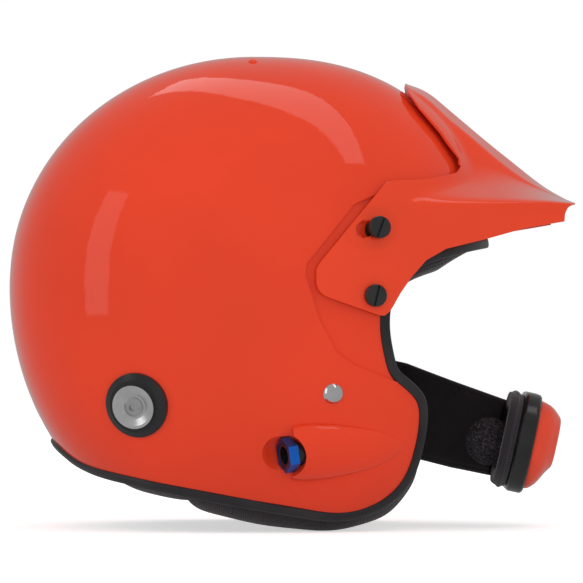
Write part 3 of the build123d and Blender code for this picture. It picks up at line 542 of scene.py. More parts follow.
def neck_grid():
    """Closed loops at stations round the rear of the shell's rings, between two heights and two insets."""
    lower = smooth_line(side_view(roll_bottom_shares), 400)
    rim = smooth_line(side_view(rim_shares)[:8], 400)
    start = ring_turn(np.array(neck_end_x), np.array(neck_end_z), pad_out, -1)
    turn = np.linspace(start, -2 * np.pi - start, 200)
    x = ring_point(turn, np.full_like(turn, neck_level), neck_inset)[:, 0]
    low = np.interp(x, lower[:, 0], lower[:, 1])
    high = np.interp(x, rim[:, 0], rim[:, 1]) + neck_rise
    loop = rounded_section((-1, -1), (1, 1), 4.0, 48)
    size = bulge(np.linspace(-1, 1, 200), 12.0)[:, None]
    z = ((low + high) / 2)[:, None] + loop[None, :, 1] * (high - low)[:, None] / 2 * size
    inset = (pad_out + comfort_in) / 2 + loop[None, :, 0] * (pad_out - comfort_in) / 2 * size
    return ring_point(turn[:, None] + 0 * z, z, inset)


cushion("neck_cushion", neck_grid(), pad_knit, "pad_fabric", "helmet", "neck_roll")


# Comfort liner. Knit-faced foam against the crown of the head, quilted in ribs that run front to back and
# laid into the crown's foam liner.
comfort_out = -0.0349
rib_pitch, rib_depth, rib_fade = 0.026, 0.0022, 0.03
lining_black = (0.022, 0.020, 0.024, 1)
comfort_edge_turn = (0.0, 0.55, 1.0, 1.5, 2.1, 2.6, 3.1416)
comfort_edge_z = (0.182, 0.176, 0.158, 0.140, 0.136, 0.098, 0.080)


def comfort_grid():
    """Outer wall from the crown down to the edge, round it, and the inner wall back up, with quilted ribs."""
    turn = np.linspace(-np.pi, np.pi, 217)
    edge = np.interp(np.abs(turn), comfort_edge_turn, comfort_edge_z)
    run = np.linspace(0, 1, 60)
    walls = []
    for out, way in ((comfort_out, run), (comfort_in, run[::-1])):
        top = belt + crown_rise + out
        z = top - (top - edge[:, None]) * (1 - np.cos(way * np.pi / 2)[None])
        wall = ring_point(turn[:, None] + 0 * z, np.minimum(z, top - 1e-9), out)
        if out == comfort_in:
            ribs = np.abs(np.sin(wall[..., 1] * np.pi / rib_pitch)) ** 0.5
            wall[..., 2] -= rib_depth * ribs * np.clip((wall[..., 2] - edge[:, None]) / rib_fade, 0, 1)
        walls.append(wall)
    return np.concatenate(walls, 1)


lining_knit = knit("lining_knit", lining_black, 0.0012)
cushion("crown_cushion", comfort_grid(), lining_knit, "lining_fabric", "helmet", "comfort_liner")


# Peak. One injection moulding 2.8 mm thick, sprayed to match: two side arms hug the shell 1.6 mm off it,
# a tongue runs up the crown, and ahead of the brow it leaves the shell as a creased bill.
peak_orange = (0.88, 0.064, 0.020, 1)
peak_gap, peak_wall, edge_round = 0.0016, 0.0028, 0.0006
peak_out = peak_gap + peak_wall
bill_shares = (
    # along, roof, crease across, crease height, foot across, foot height, ridge across, ridge height
    (0.240, 0.700, 0.150, 0.690, 0.480, 0.560, 0.700, 0.330),
    (0.440, 0.790, 0.250, 0.765, 0.480, 0.590, 0.780, 0.350),
    (0.596, 0.868, 0.262, 0.832, 0.480, 0.560, 0.825, 0.362),
    (0.688, 0.866, 0.264, 0.826, 0.430, 0.570, 0.838, 0.362),
    (0.794, 0.798, 0.264, 0.745, 0.420, 0.520, 0.831, 0.362),
    (0.901, 0.705, 0.254, 0.655, 0.395, 0.480, 0.815, 0.362),
    (1.007, 0.614, 0.242, 0.563, 0.345, 0.470, 0.795, 0.362),
    (1.124, 0.518, 0.242, 0.472, 0.300, 0.440, 0.770, 0.362),
    (1.234, 0.432, 0.242, 0.411, 0.290, 0.400, 0.742, 0.360),
    (1.376, 0.352, 0.242, 0.350, 0.290, 0.349, 0.702, 0.348),
)
peak_low_line = (
    (0.0140, 0.1500), (0.0143, 0.1460), (0.0160, 0.1412), (0.0193, 0.1382), (0.0290, 0.1346),
    (0.0519, 0.1267), (0.0543, 0.1267), (0.0577, 0.1297), (0.0632, 0.1395), (0.0697, 0.1488),
    (0.0785, 0.1589), (0.0902, 0.1656), (0.1131, 0.1712), (0.1370, 0.1779), (0.1616, 0.1821),
    (0.1700, 0.1832),
)
peak_top_line = (
    (0.0140, 0.1530), (0.0166, 0.1575), (0.0540, 0.2030), (0.0560, 0.2047), (0.0600, 0.2055),
    (0.0699, 0.2058), (0.0809, 0.2068), (0.0917, 0.2091), (0.0971, 0.2107), (0.0990, 0.2126),
    (0.0999, 0.2146),
)
tongue_line = (
    (0.0683, 0.2640), (0.0690, 0.2600), (0.0755, 0.2502), (0.0885, 0.2352), (0.0950, 0.2254),
    (0.0993, 0.2190), (0.0999, 0.2146),
)
notch_x, tongue_x, arm_x = 0.0999, 0.0683, 0.0142
pivot = (0.0482, 0.1384)
slot_radius, slot_half_width, slot_snap = 0.039, 0.00475, 0.00062
slot_bearing, slot_travel = math.radians(2.6), math.radians(11.6)
dip_reach, dip_depth = 0.0075, 0.0006
bill_centre_z = 0.150
flare_from, flare_depth, waist_from, waist_depth, lip_run = 0.105, 0.0026, 0.085, 0.0010, 0.045
lip_share, hem_out, hem_down = 0.42, 0.0012, 0.012
blend_reach, blend_lift = 0.006, 0.8
corner_softness = (0.0, 0.10, 0.46, 0.16, 0.30, 0.0)

bill_table = np.array(bill_shares)
bill_table[:, 0] = crown_x + bill_table[:, 0] * front_reach
bill_table[:, [2, 4, 6]] *= half_width
bill_table[:, [1, 3, 5, 7]] = belt + bill_table[:, [1, 3, 5, 7]] * crown_rise
bill_table = smooth_line(bill_table, 900)


def bill_corners(x):
    """The bill's section at x as six corners: roof, crease, foot, ridge, lip and hem."""
    roof, crease_y, crease_z, foot_y, foot_z, ridge_y, ridge_z = (
        np.interp(x, bill_table[:, 0], bill_table[:, k]) for k in range(1, 8)
    )
    low = np.interp(x, *np.array(peak_low_line).T)
    flare = flare_depth * np.clip((x - flare_from) / lip_run, 0, 1) ** 1.5
    waist = waist_depth * np.clip((x - waist_from) / lip_run, 0, 1)
    corners = [
        (0 * x, roof), (crease_y, crease_z), (foot_y, foot_z), (ridge_y, ridge_z),
        (ridge_y - waist, ridge_z * lip_share + low * (1 - lip_share)),
        (ridge_y + flare + hem_out, low - hem_down),
    ]
    return np.stack([np.stack(corner, -1) for corner in corners], -2)


def bill_section(x, t):
    """Point of the rounded section: straight from corner to corner, with a parabola round each corner."""
    corners = bill_corners(x)
    t = np.clip(t, 0, 4.999)
    nearest = np.clip(np.round(t).astype(int), 1, 4)
    soft = np.maximum(np.array(corner_softness)[nearest], 1e-6)
    base = np.floor(t).astype(int)
    before, middle, after, start, end = (
        np.take_along_axis(corners, i[..., None, None], -2)[..., 0, :]
        for i in (nearest - 1, nearest, nearest + 1, base, base + 1)
    )
    share = (t - base)[..., None]
    straight = start * (1 - share) + end * share
    rise = np.clip((t - nearest) / (2 * soft) + 0.5, 0, 1)[..., None]
    first = middle + (before - middle) * soft[..., None]
    last = middle + (after - middle) * soft[..., None]
    bend = first * (1 - rise) ** 2 + 2 * middle * rise * (1 - rise) + last * rise**2
    return np.where((np.abs(t - nearest) < soft)[..., None], bend, straight)


def egg_radius(x, angle, out):
    """Distance from the bill's centre line to the shell body moved outwards, by halving the interval."""
    low, high = np.zeros_like(x), np.full_like(x, 0.30)
    for _ in range(34):
        middle = (low + high) / 2
        z = bill_centre_z + middle * np.cos(angle)
        inner = middle * np.sin(angle) < side_half_width(x, z, out)
        low, high = np.where(inner, middle, low), np.where(inner, high, middle)
    return (low + high) / 2


def peak_surface(x, t):
    """Peak's outer skin: the larger of the shell's skin moved out and the bill, with a soft blend."""
    x, t = np.broadcast_arrays(np.asarray(x, float), np.asarray(t, float))
    section = bill_section(x, t)
    across, up = section[..., 0], section[..., 1] - bill_centre_z
    angle = np.arctan2(across, up)
    bill_radius, shell_radius = np.hypot(across, up), egg_radius(x, angle, peak_out)
    mix = np.clip(0.5 + (bill_radius - shell_radius) / (2 * blend_reach), 0, 1)
    radius = shell_radius + (bill_radius - shell_radius) * mix + blend_reach * mix * (1 - mix) * blend_lift
    return np.stack([x, radius * np.sin(angle), bill_centre_z + radius * np.cos(angle)], -1)


def reach_height(x, line):
    """Section value t at which each station's skin passes a line of the side view."""
    t = np.linspace(0, 4.99, 1200)
    z = peak_surface(x[:, None], t[None])[..., 2]
    z = np.minimum.accumulate(z, axis=1) - np.arange(t.size) * 1e-9
    level = np.interp(x, *np.array(line).T)
    return np.array([np.interp(-level[j], -z[j], t) for j in range(len(x))])


front_t = (0.0, 1.0, 2.0, 2.8, 3.0, 3.5, 4.0, 4.99)
front_line = (0.1694, 0.1690, 0.1680, 0.1664, 0.1650, 0.1618, 0.1600, 0.1590)
stretch_t = 4.5
arm_stations = arm_x + (notch_x - arm_x) * (1 - np.cos(np.linspace(0.12, np.pi, 84))) / 2
tongue_stations = tongue_x + (notch_x - tongue_x) * np.sin(np.linspace(0.0, np.pi / 2, 36))
bill_turn = np.linspace(0, 1, 66) ** 1.15
bill_stations = notch_x + bill_turn * (np.interp(stretch_t, front_t, front_line) - notch_x)
inner_share, outer_share_down = np.linspace(0, 1, 51), np.linspace(0, 1, 81)
tongue_t = reach_height(tongue_stations, tongue_line)[:, None]
top_t = reach_height(arm_stations, peak_top_line)[:, None]
low_t = reach_height(arm_stations, peak_low_line)[:, None]
hem_t = reach_height(bill_stations, peak_low_line)[:, None]
notch_t = (tongue_t[-1] + top_t[-1]) / 2
tongue_t[-1], top_t[-1], hem_t[0] = notch_t, notch_t, low_t[-1]
bill_t = np.concatenate(
    [inner_share * notch_t + 0 * hem_t, notch_t + outer_share_down[1:] * (hem_t - notch_t)], axis=1
)
bill_x = notch_x + bill_turn[:, None] * (np.interp(bill_t, front_t, front_line) - notch_x)
tongue = peak_surface(tongue_stations[:, None], tongue_t * inner_share)
arm = peak_surface(arm_stations[:, None], top_t + (low_t - top_t) * outer_share_down)
bill_grid = peak_surface(bill_x, bill_t)


def slot_distance(x, z):
    """Distance from the arc slot's edge in the side view, negative inside it, and the way out of it."""
    along = np.arctan2(x - pivot[0], z - pivot[1])
    held = np.clip(along, slot_bearing - slot_travel, slot_bearing)
    gap_x = x - pivot[0] - slot_radius * np.sin(held)
    gap_z = z - pivot[1] - slot_radius * np.cos(held)
    gap = np.hypot(gap_x, gap_z)
    return gap - slot_half_width, gap_x / np.maximum(gap, 1e-9), gap_z / np.maximum(gap, 1e-9)


def open_slot(grid):
    """Move the grid's nearest points onto the slot's edge, and dip the skin round it for the screw's head."""
    distance, way_x, way_z = slot_distance(grid[..., 0], grid[..., 2])
    near = np.abs(distance) < slot_snap
    grid[..., 0] -= np.where(near, distance * way_x, 0)
    grid[..., 2] -= np.where(near, distance * way_z, 0)
    grid[..., 1] = np.where(near, side_half_width(grid[..., 0], grid[..., 2], peak_out), grid[..., 1])
    grid[..., 1] -= dip_depth * smooth_step((dip_reach - distance) / (dip_reach / 3))
    return grid


shapes = [grid * np.array([1, side, 1]) for grid in (open_slot(arm), tongue, bill_grid) for side in (-1, 1)]
points, faces, start = [], [], 0
for grid in shapes:
    quads = grid_quads(*grid.shape[:2])
    centre = grid.reshape(-1, 3)[quads].mean(1)
    faces.append(quads[slot_distance(centre[:, 0], centre[:, 2])[0] >= 0] + start)
    points.append(grid.reshape(-1, 3))
    start += len(points[-1])
peak = joined_mesh("peak_moulding", np.concatenate(points), np.concatenate(faces), None, 2e-5, 1e-6)
if sum(face.normal.z for face in peak.data.polygons) < 0:
    peak.data.flip_normals()
wall = peak.modifiers.new("wall", "SOLIDIFY")
wall.thickness, wall.offset = peak_wall, -1.0
wall.use_even_offset, wall.thickness_clamp = True, 1.0
edges = peak.modifiers.new("edges", "BEVEL")
edges.width, edges.segments = edge_round, 2
edges.limit_method, edges.angle_limit = "ANGLE", math.radians(50)
finish_piece(peak, paint("peak_orange_paint", peak_orange), "peak_paint", "visor_peak", "peak")


# Peak screws. Black moulded nylon heads with a driver slot, two on each side. The peak turns on the lower
# pair, and the upper pair run in its arc slots.
def plastic(name, colour, roughness, grain=1300.0, depth=0.00003):
    """Injection moulded plastic with its tool's fine texture."""
    material, tree, shader = new_material(name, Roughness=roughness)
    vector = place(tree)
    tone(tree, shader, noise(tree, vector, 60.0), colour, 0.85, 1.2)
    relief(tree, noise(tree, vector, grain, 2.0), 0.3, depth, shader)
    return material


dress(plastic("screw_nylon", (0.018, 0.018, 0.019, 1), 0.34), "pivot_screws", "slot_screws")


# Inserts, plates and washers behind the wall. Turned brass inserts take the peak's screws, and plated
# steel backs the anchors and the rivets.
def metal(name, colour, roughness, scratch=2400.0, depth=0.00002):
    """Bare or plated metal: fine scratches and slow change of gloss."""
    material, tree, shader = new_material(name, Metallic=1.0)
    vector = place(tree)
    wear = noise(tree, vector, 90.0, 4.0)
    tone(tree, shader, wear, colour, 0.9, 1.05)
    uneven_gloss(tree, shader, wear, roughness - 0.06, roughness + 0.08)
    relief(tree, noise(tree, vector, scratch, 2.0), 0.25, depth, shader)
    return material


dress(metal("insert_brass", (0.70, 0.50, 0.22, 1), 0.28), "screw_inserts")
dress(metal("plate_steel", (0.50, 0.50, 0.51, 1), 0.35), "anchor_plates", "rivet_washers")


# Head restraint anchors, one on each side. A black nylon cone ring and a turned aluminium disc, fixed by
# a steel button screw.
dress(plastic("anchor_nylon", (0.014, 0.014, 0.015, 1), 0.30), "anchor_rings")
dress(metal("disc_aluminium", (0.74, 0.74, 0.75, 1), 0.24), "anchor_discs")
dress(metal("screw_steel", (0.60, 0.60, 0.61, 1), 0.22), "anchor_screws")


# Intercom port. A blue anodised hex nut clamps the barrel of a moulded socket in the fairing's scoop. The
# socket holds a brass contact sleeve.
dress(metal("blue_anodised", (0.03, 0.22, 0.95, 1), 0.34), "port_nut")
dress(plastic("socket_plastic", (0.012, 0.012, 0.013, 1), 0.30), "socket_body")
dress(metal("contact_brass", (0.78, 0.60, 0.28, 1), 0.22), "socket_contacts")


# Chin strap. Flat black woven webbing, one tape on each side, fixed by a polished steel rivet through the
# shell and led in past the cheek pad.
dress(metal("rivet_steel", (0.72, 0.72, 0.73, 1), 0.12), "strap_rivets")
strap_black = (0.016, 0.016, 0.018, 1)
strap_x, rivet_z, strap_width, strap_thickness, strap_gap = 0.0244, 0.0812, 0.020, 0.0018, 0.0005
strap_top, strap_bend = rivet_z + strap_width / 2, rivet_z - strap_width / 2
strap_face = float(side_half_width(np.array(strap_x + strap_width / 2), np.array(strap_bend), -shell_wall))
strap_middle = strap_face - strap_gap - strap_thickness / 2
strap_route = (
    (strap_middle, strap_top), (strap_middle, strap_bend),
    (0.08928, 0.06336), (0.05704, 0.04896), (0.04216, 0.0288), (0.02728, 0.01584), (0.0, 0.0108),
)
left_strap_end = (-0.02232, 0.0126)


def webbing(name, colour, pitch):
    """Flat woven tape: a twill of fine ribs across its own lengths."""
    material, tree, shader = new_material(name, Roughness=0.7, Sheen_Weight=0.2)
    flat = place(tree, (1 / pitch, 1 / pitch, 1), "UV")
    twill, ribs = wave(tree, flat, "DIAGONAL", 0.4), wave(tree, flat, "Y", 0.2)
    both = combined(tree, "ADD", twill, ribs)
    tone(tree, shader, both, colour, 0.6, 1.8, 0.2, 1.6)
    relief(tree, both, 0.5, pitch / 4, shader)
    return material


def strap_grid(route, side):
    """Flat tape along a smooth line in the front view: two faces joined by rounded edges."""
    line = smooth_line(route, 90)
    step = unit(np.gradient(line, axis=0))
    corner = np.array([strap_thickness / 2, strap_width / 2])
    section = rounded_section(-corner, corner, 7.0, 24)
    share = bulge(np.linspace(-1, 1, len(line)), 40.0)[:, None, None]
    across = line[:, None] + np.stack([-step[:, 1], step[:, 0]], -1)[:, None] * (section[None, :, :1] * share)
    x = strap_x + section[None, :, 1] + 0 * across[..., 0]
    return np.stack([x, side * across[..., 0], across[..., 1]], -1)


strap_tape = webbing("strap_webbing", strap_black, 0.0012)
for side, name, route in ((-1, "right", strap_route[:6]), (1, "left", strap_route + (left_strap_end,))):
    grid = strap_grid(route, side)
    piece = skin(f"strap_tape_{name}", grid, flat_lengths(grid))
    finish_piece(piece, strap_tape, "strap_webbing", "helmet", f"chin_strap_{name}")


# Ear cups. Moulded plastic cups set in the cheek foam, each with a speaker and a stuffed ring in coated
# cloth that looks like leather.
dress(plastic("cup_plastic", (0.022, 0.022, 0.024, 1), 0.4), "ear_cups")
dress(plastic("speaker_plastic", (0.035, 0.035, 0.038, 1), 0.5, 700.0, 0.0002), "speakers")
ear_x, ear_z = -0.018, 0.090
cushion_outer = (0.0335, 0.0405)
cushion_inner = (0.0155, 0.019)
cushion_near, cushion_far = 0.064, 0.0755
gather_share, gather_count = 0.04, 36


def ear_ring_grid(side):
    """Oval tube: a rounded section carried round an ellipse, with small gathers on its inner edge."""
    turn = np.linspace(0, 2 * np.pi, 145)
    round_turn = np.linspace(0, 2 * np.pi, 33)
    inward = (1 - np.cos(round_turn)) / 2
    reach_x = cushion_outer[0] + (cushion_inner[0] - cushion_outer[0]) * inward
    reach_z = cushion_outer[1] + (cushion_inner[1] - cushion_outer[1]) * inward
    puff = signed_power(np.sin(round_turn), 0.7)
    gather = 1 + gather_share * np.cos(turn * gather_count)[:, None] * inward[None] ** 2
    depth = (cushion_near + cushion_far) / 2 - puff[None] * (cushion_far - cushion_near) / 2 * gather
    x = ear_x + np.cos(turn)[:, None] * reach_x[None]
    z = ear_z + np.sin(turn)[:, None] * reach_z[None]
    return np.stack([x, side * depth, z], -1)


def leather(name, colour):
    """Coated cloth that looks like leather: fine pebbles and soft gloss."""
    material, tree, shader = new_material(name, Roughness=0.45)
    vector = place(tree)
    tone(tree, shader, noise(tree, vector, 60.0, 4.0), colour, 0.8, 1.3)
    relief(tree, cells(tree, vector, 900.0), 0.4, 0.0002, shader)
    return material


cushion_skin = leather("cushion_leather", (0.018, 0.018, 0.020, 1))
for side, name in ((-1, "right"), (1, "left")):
    grid = ear_ring_grid(side)
    cushion(f"ear_ring_{name}", grid, cushion_skin, "cushion_leather", "helmet", "ear_cushions")


# Boom base, pin and arm. A moulded plate on the left cheek foam, a turned steel pin, and the stiff plastic
# strip that tilts on it.
dress(plastic("base_plastic", (0.016, 0.016, 0.018, 1), 0.4), "boom_base")
dress(metal("pin_steel", (0.55, 0.55, 0.56, 1), 0.25), "boom_pin")
dress(plastic("arm_plastic", (0.03, 0.03, 0.032, 1), 0.4), "boom_arm")


# Boom sleeve. A stiff strip in a sewn knit sleeve with a seam near each edge; it bends inwards from the
# left cheek to the mouth.
arm_y, arm_bend, arm_slope, arm_round = 0.0755, 0.06397, -0.8237, 0.02517
arm_top_x = (0.0365, 0.0385, 0.042, 0.0500, 0.0579, 0.0625, 0.070, 0.0955, 0.1296, 0.15)
arm_top_z = (0.0700, 0.0752, 0.0800, 0.0905, 0.0972, 0.0985, 0.0968, 0.0865, 0.0732, 0.066)
arm_low_x = (0.0365, 0.0385, 0.042, 0.0500, 0.0620, 0.0763, 0.0982, 0.1204, 0.15)
arm_low_z = (0.0665, 0.0622, 0.0582, 0.0528, 0.0454, 0.0385, 0.0336, 0.0300, 0.026)
sleeve_thickness, sleeve_start, sleeve_end = 0.0064, 0.0368, 0.1250
seam_inset, seam_width, seam_depth, hem_width, hem_thinning = 0.0032, 0.0006, 0.16, 0.0030, 0.06
mouth_x, mouth_z, mouth_tilt = 0.1373, 0.0507, math.radians(12.2)
sleeve_black = (0.016, 0.012, 0.015, 1)


def arm_line(x):
    """Plan of the arm: straight, an arc, and straight again; returns y and the slope."""
    lean = math.atan(-arm_slope)
    first = arm_bend - arm_round * math.tan(lean / 2)
    last = first + arm_round * math.sin(lean)
    swing = np.clip(x - first, 0, last - first)
    y = arm_y - (arm_round - np.sqrt(arm_round**2 - swing**2)) + arm_slope * np.clip(x - last, 0, None)
    slope = np.where(x < last, -swing / np.sqrt(arm_round**2 - swing**2), arm_slope)
    return y, slope


def sleeve_grid():
    """Loops across the arm at stations along it: flat faces, round edges, sunk seams and a slight plumpness;
    the far end leans with the mouthpiece."""
    station = np.linspace(0, 1, 150)
    x = sleeve_start + (sleeve_end - sleeve_start) * station
    top, low = np.interp(x, arm_top_x, arm_top_z), np.interp(x, arm_low_x, arm_low_z)
    for _ in range(3):
        for line in (top, low):
            line[1:-1] = (line[:-2] + 2 * line[1:-1] + line[2:]) / 4
    half = (top - low) / 2
    turn = np.linspace(0, 2 * np.pi, 129)
    rise = np.cos(turn)
    q = np.sign(rise) * (1 - (1 - np.abs(rise)) ** 1.6)
    face = np.sign(np.sin(turn)) * np.sqrt(np.clip(1 - np.abs(q) ** 10, 0, None))
    face[[0, 64, 128]] = 0
    edge = (1 - np.abs(q)[None]) * half[:, None]
    seam = np.exp(-(((edge - seam_inset) / seam_width) ** 2))
    plump = 1 - seam_depth * seam - hem_thinning * (edge < hem_width)
    end = bulge(np.clip(station * 2 - 1, None, 0), 12.0)[:, None]
    depth = face[None] * sleeve_thickness / 2 * plump * np.maximum(end, 0.02)
    z = ((top + low) / 2)[:, None] + q[None] * half[:, None]
    lean = station[:, None] ** 3
    shifted = x[:, None] + lean * (z - mouth_z) * math.tan(mouth_tilt)
    y, slope = arm_line(shifted)
    size = np.sqrt(1 + slope**2)
    return np.stack([shifted - depth * slope / size, y + depth / size, z], -1)


sleeve_knit = knit("sleeve_knit", sleeve_black, 0.0009, 0.85, 0.25)
cushion("boom_sleeve", sleeve_grid(), sleeve_knit, "arm_fabric", "boom", "arm_cover")


# Microphone and its windscreen. A steel capsule in a plastic bracket on the arm, with a ball of open-cell
# foam pulled over it.
low, high = (np.array(v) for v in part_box("microphone_foam"))
ball_centre, ball_radius = (low + high) / 2, float((high - low)[0]) / 2
foam_black = (0.020, 0.018, 0.021, 1)
pit_waves, pit_least, pit_most, pit_sink, pit_depth = 24, 18, 52, 0.00045, 0.00009


def ball_grid():
    """Sphere whose surface is pitted by several sine waves of unlike length, as cut foam is."""
    turn = np.linspace(0, 2 * np.pi, 241)[None]
    rise = np.linspace(-np.pi / 2, np.pi / 2, 121)[:, None]
    level = np.cos(rise)
    way = np.stack(np.broadcast_arrays(level * np.cos(turn), level * np.sin(turn), np.sin(rise)), -1)
    way[:, -1] = way[:, 0]
    way[0], way[-1] = (0, 0, -1), (0, 0, 1)
    rng = np.random.default_rng(4)
    pits = np.zeros(way.shape[:2])
    for _ in range(pit_waves):
        tilt = rng.normal(size=3)
        tilt *= rng.uniform(pit_least, pit_most) / np.linalg.norm(tilt)
        pits += np.sin(way @ tilt + rng.uniform(0, 6.28))
    radius = ball_radius - pit_sink + pit_depth * np.clip(pits, -5, 4.5)
    return ball_centre + way * radius[..., None]


def open_foam(name, colour):
    """Open-cell foam: dark pores between pale struts."""
    material, tree, shader = new_material(name, Roughness=0.95)
    vector = place(tree)
    pores = combined(tree, "MULTIPLY", cells(tree, vector, 800.0), noise(tree, vector, 700.0))
    tone(tree, shader, pores, colour, 0.35, 5, 0.10, 0.45)
    relief(tree, pores, 0.9, 0.0008, shader)
    return material


ball = skin("windscreen_ball", ball_grid())
finish_piece(ball, open_foam("windscreen_foam", foam_black), "windscreen_foam", "boom", "microphone_foam")
dress(metal("capsule_steel", (0.45, 0.45, 0.46, 1), 0.3), "microphone_capsule")
dress(plastic("bracket_plastic", (0.02, 0.02, 0.022, 1), 0.4), "microphone_bracket")


# Mouthpiece. A stuffed ring faces the mouth, a glossy rubber cup holds it, and an orange cover closes the
# cup in front.
mouth_half_width, mouth_half_height = 0.044, 0.030
ring_back, ring_front, ring_width = -0.01224, -0.00424, 0.0108
ring_tuck, bead_depth = 0.0012, 0.0005


def mouth_place(across, up, ahead):
    """Places in the mouthpiece's own leaning frame, turned into the helmet's frame."""
    x = mouth_x + up * math.sin(mouth_tilt) + ahead * math.cos(mouth_tilt)
    z = mouth_z + up * math.cos(mouth_tilt) - ahead * math.sin(mouth_tilt)
    return np.stack(np.broadcast_arrays(x, across, z), -1)


def pill(turn, half_w, half_h, corner_share=0.8):
    """Rounded rectangle by turn: straight runs and quarter arcs, at equal steps of its length."""
    corner = half_h * corner_share
    flat_w, flat_h = half_w - corner, half_h - corner
    quarter = np.pi * corner / 2
    runs = np.array([flat_h, quarter, 2 * flat_w, quarter, 2 * flat_h, quarter, 2 * flat_w, quarter, flat_h])
    ends = np.concatenate([[0], np.cumsum(runs)])
    at = (turn / (2 * np.pi) % 1.0) * ends[-1]
    i = np.clip(np.searchsorted(ends, at, side="right") - 1, 0, 8)
    share = (at - ends[i]) / runs[i]
    bend = share * np.pi / 2
    across = np.choose(i, [
        half_w + 0 * bend, flat_w + corner * np.cos(bend), flat_w - 2 * flat_w * share,
        -flat_w - corner * np.sin(bend), -half_w + 0 * bend, -flat_w - corner * np.cos(bend),
        -flat_w + 2 * flat_w * share, flat_w + corner * np.sin(bend), half_w + 0 * bend,
    ])
    up = np.choose(i, [
        flat_h * share, flat_h + corner * np.sin(bend), half_h + 0 * bend, flat_h + corner * np.cos(bend),
        flat_h - 2 * flat_h * share, -flat_h - corner * np.sin(bend), -half_h + 0 * bend,
        -flat_h - corner * np.cos(bend), -flat_h + flat_h * share,
    ])
    return across, up


def mouth_ring_grid():
    """Stuffed ring: a rounded section carried round the rounded rectangle, with two sewn beads behind."""
    turn = np.linspace(0, 2 * np.pi, 241)
    section = rounded_section((0, ring_back), (ring_width, ring_front), 2.8, 40)
    inset, ahead = section[None, :, 0], section[None, :, 1]
    bead = bead_depth * np.cos((ahead - ring_back) / (ring_front - ring_back) * 4 * np.pi)
    halves = (mouth_half_width, mouth_half_height)
    wide, high = ((half - ring_tuck - inset + bead * (inset < ring_width / 2))[0] for half in halves)
    loops = [pill(turn, *size) for size in zip(wide, high)]
    across, up = (np.stack([loop[k] for loop in loops], 1) for k in (0, 1))
    return mouth_place(across, up, ahead + 0 * up)


cushion("mouthpiece_ring", mouth_ring_grid(), pad_knit, "pad_fabric", "boom", "mouthpiece_pad")
dress(rubber("gasket_rubber", (0.010, 0.010, 0.011, 1), 0.16, 300.0, 0.00001), "mouthpiece_gasket")

cover_rings = (
    # ahead, half width, half height, lift
    (0.0052, 0.0390, 0.0250, 0.0), (0.0066, 0.0406, 0.0266, 0.0), (0.0082, 0.0405, 0.0264, 0.0),
    (0.0105, 0.0395, 0.0254, 0.0004), (0.0130, 0.0374, 0.0236, 0.0012), (0.0155, 0.0342, 0.0208, 0.0024),
    (0.0172, 0.0312, 0.0186, 0.0032), (0.0190, 0.0282, 0.0164, 0.0036), (0.0202, 0.0262, 0.0148, 0.0037),
    (0.0207, 0.0244, 0.0134, 0.0037), (0.02085, 0.0200, 0.0100, 0.0037), (0.0209, 0.0, 0.0, 0.0037),
)


def cover_grid():
    """Rings of one rounded rectangle that shrink and lift as they go forward, closed behind and in front."""
    rings = smooth_line(np.array(cover_rings), 60)
    rings[-1, 1:3] = 0
    back = rings[:1].copy()
    back[:, 1:3] = 0
    rings = np.concatenate([back, rings])
    turn = np.linspace(0, 2 * np.pi, 161)
    loops = [pill(turn, max(w, 1e-7), max(h, 1e-7)) for _, w, h, _ in rings]
    across = np.stack([loop[0] for loop in loops])
    up = np.stack([loop[1] for loop in loops]) + rings[:, 3:]
    return mouth_place(across, up, rings[:, :1] + 0 * up)


cover = skin("mouthpiece_cap", cover_grid())
cover_orange = paint("cover_orange", (0.82, 0.070, 0.030, 1))
finish_piece(cover, cover_orange, "cover_plastic", "boom", "mouthpiece_cover")


# Floor, backdrop, lamps and camera. A plain white studio with soft lamps above, in front and behind; the
# camera stands square to the right side.
def area_lamp(name, place_at, aim, size, power):
    """Rectangular lamp that faces its aim."""
    lamp = bpy.data.lights.new(name, "AREA")
    lamp.shape = "RECTANGLE"
    lamp.size, lamp.size_y = size
    lamp.energy = power
    holder = put(name, lamp)
    holder.location = place_at
    direction = np.array(aim) - np.array(place_at)
    yaw = math.atan2(direction[1], direction[0])
    pitch = math.atan2(direction[2], math.hypot(direction[0], direction[1]))
    holder.rotation_euler = (math.pi / 2 + pitch, 0, yaw - math.pi / 2)
    return holder


area_lamp("top_strip", (0.15, 0.10, 1.6), (0, 0, 0.15), (2.6, 0.34), 4.0)
fill = area_lamp("front_fill", (0.4, -2.2, 0.35), (0, 0, 0.12), (2.4, 0.9), 8.0)
fill.visible_glossy = False
area_lamp("rear_softbox", (-1.5, -0.9, 0.6), (0, 0, 0.12), (0.5, 1.3), 2.0)

lit_level, seen_level, mirrored_level, floor_glow = 0.70, 1.0, 0.42, 0.55


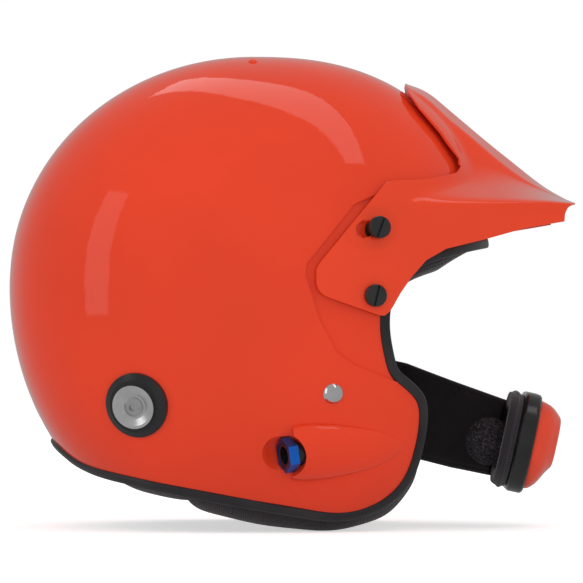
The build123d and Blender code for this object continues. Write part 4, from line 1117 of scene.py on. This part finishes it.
def blended(tree, factor, first, second):
    """Shader that goes from the first to the second as the factor goes from 0 to 1."""
    mix = new_node(tree, "MixShader")
    for source, socket in ((factor, 0), (first, 1), (second, 2)):
        tree.links.new(source, mix.inputs[socket])
    return mix.outputs["Shader"]


world = bpy.data.worlds.new("studio")
bpy.context.scene.world = world
world.use_nodes = True
tree = world.node_tree
lit, seen, mirrored = (
    new_node(tree, "Background", Color=(1, 1, 1, 1), Strength=level).outputs["Background"]
    for level in (lit_level, seen_level, mirrored_level)
)
rays = new_node(tree, "LightPath").outputs
looking = combined(tree, "MAXIMUM", rays["Is Camera Ray"], rays["Is Transmission Ray"])
backdrop = blended(tree, rays["Is Glossy Ray"], blended(tree, looking, lit, seen), mirrored)
tree.links.new(backdrop, tree.nodes["World Output"].inputs["Surface"])

floor_mesh = bpy.data.meshes.new("studio_floor")
floor_mesh.from_pydata([(-3, -3, 0), (3, -3, 0), (3, 3, 0), (-3, 3, 0)], [], [(0, 1, 2, 3)])
floor = put("studio_floor", floor_mesh)
floor_material, tree, shader = new_material(
    "floor_white", Base_Color=(0.85, 0.85, 0.85, 1), Roughness=0.9, Specular_IOR_Level=0.0
)
added = new_node(tree, "AddShader")
tree.links.new(shader.outputs["BSDF"], added.inputs[0])
tree.links.new(new_node(tree, "Emission", Strength=floor_glow).outputs["Emission"], added.inputs[1])
rays = new_node(tree, "LightPath").outputs
surface = blended(tree, rays["Is Camera Ray"], shader.outputs["BSDF"], added.outputs["Shader"])
mirrored = new_node(tree, "Emission", Strength=mirrored_level)
surface = blended(tree, rays["Is Glossy Ray"], surface, mirrored.outputs["Emission"])
tree.links.new(surface, tree.nodes["Material Output"].inputs["Surface"])
floor_mesh.materials.append(floor_material)

camera_data = bpy.data.cameras.new("camera")
camera_data.sensor_width, camera_data.lens, camera_data.clip_end = 36.0, 360.0, 50.0
camera = put("camera", camera_data)
camera.location = (0.0, -3.5, 0.1407)
camera.rotation_euler = (math.pi / 2, 0, 0)
bpy.context.scene.camera = camera
bpy.context.scene.view_settings.view_transform = "Standard"
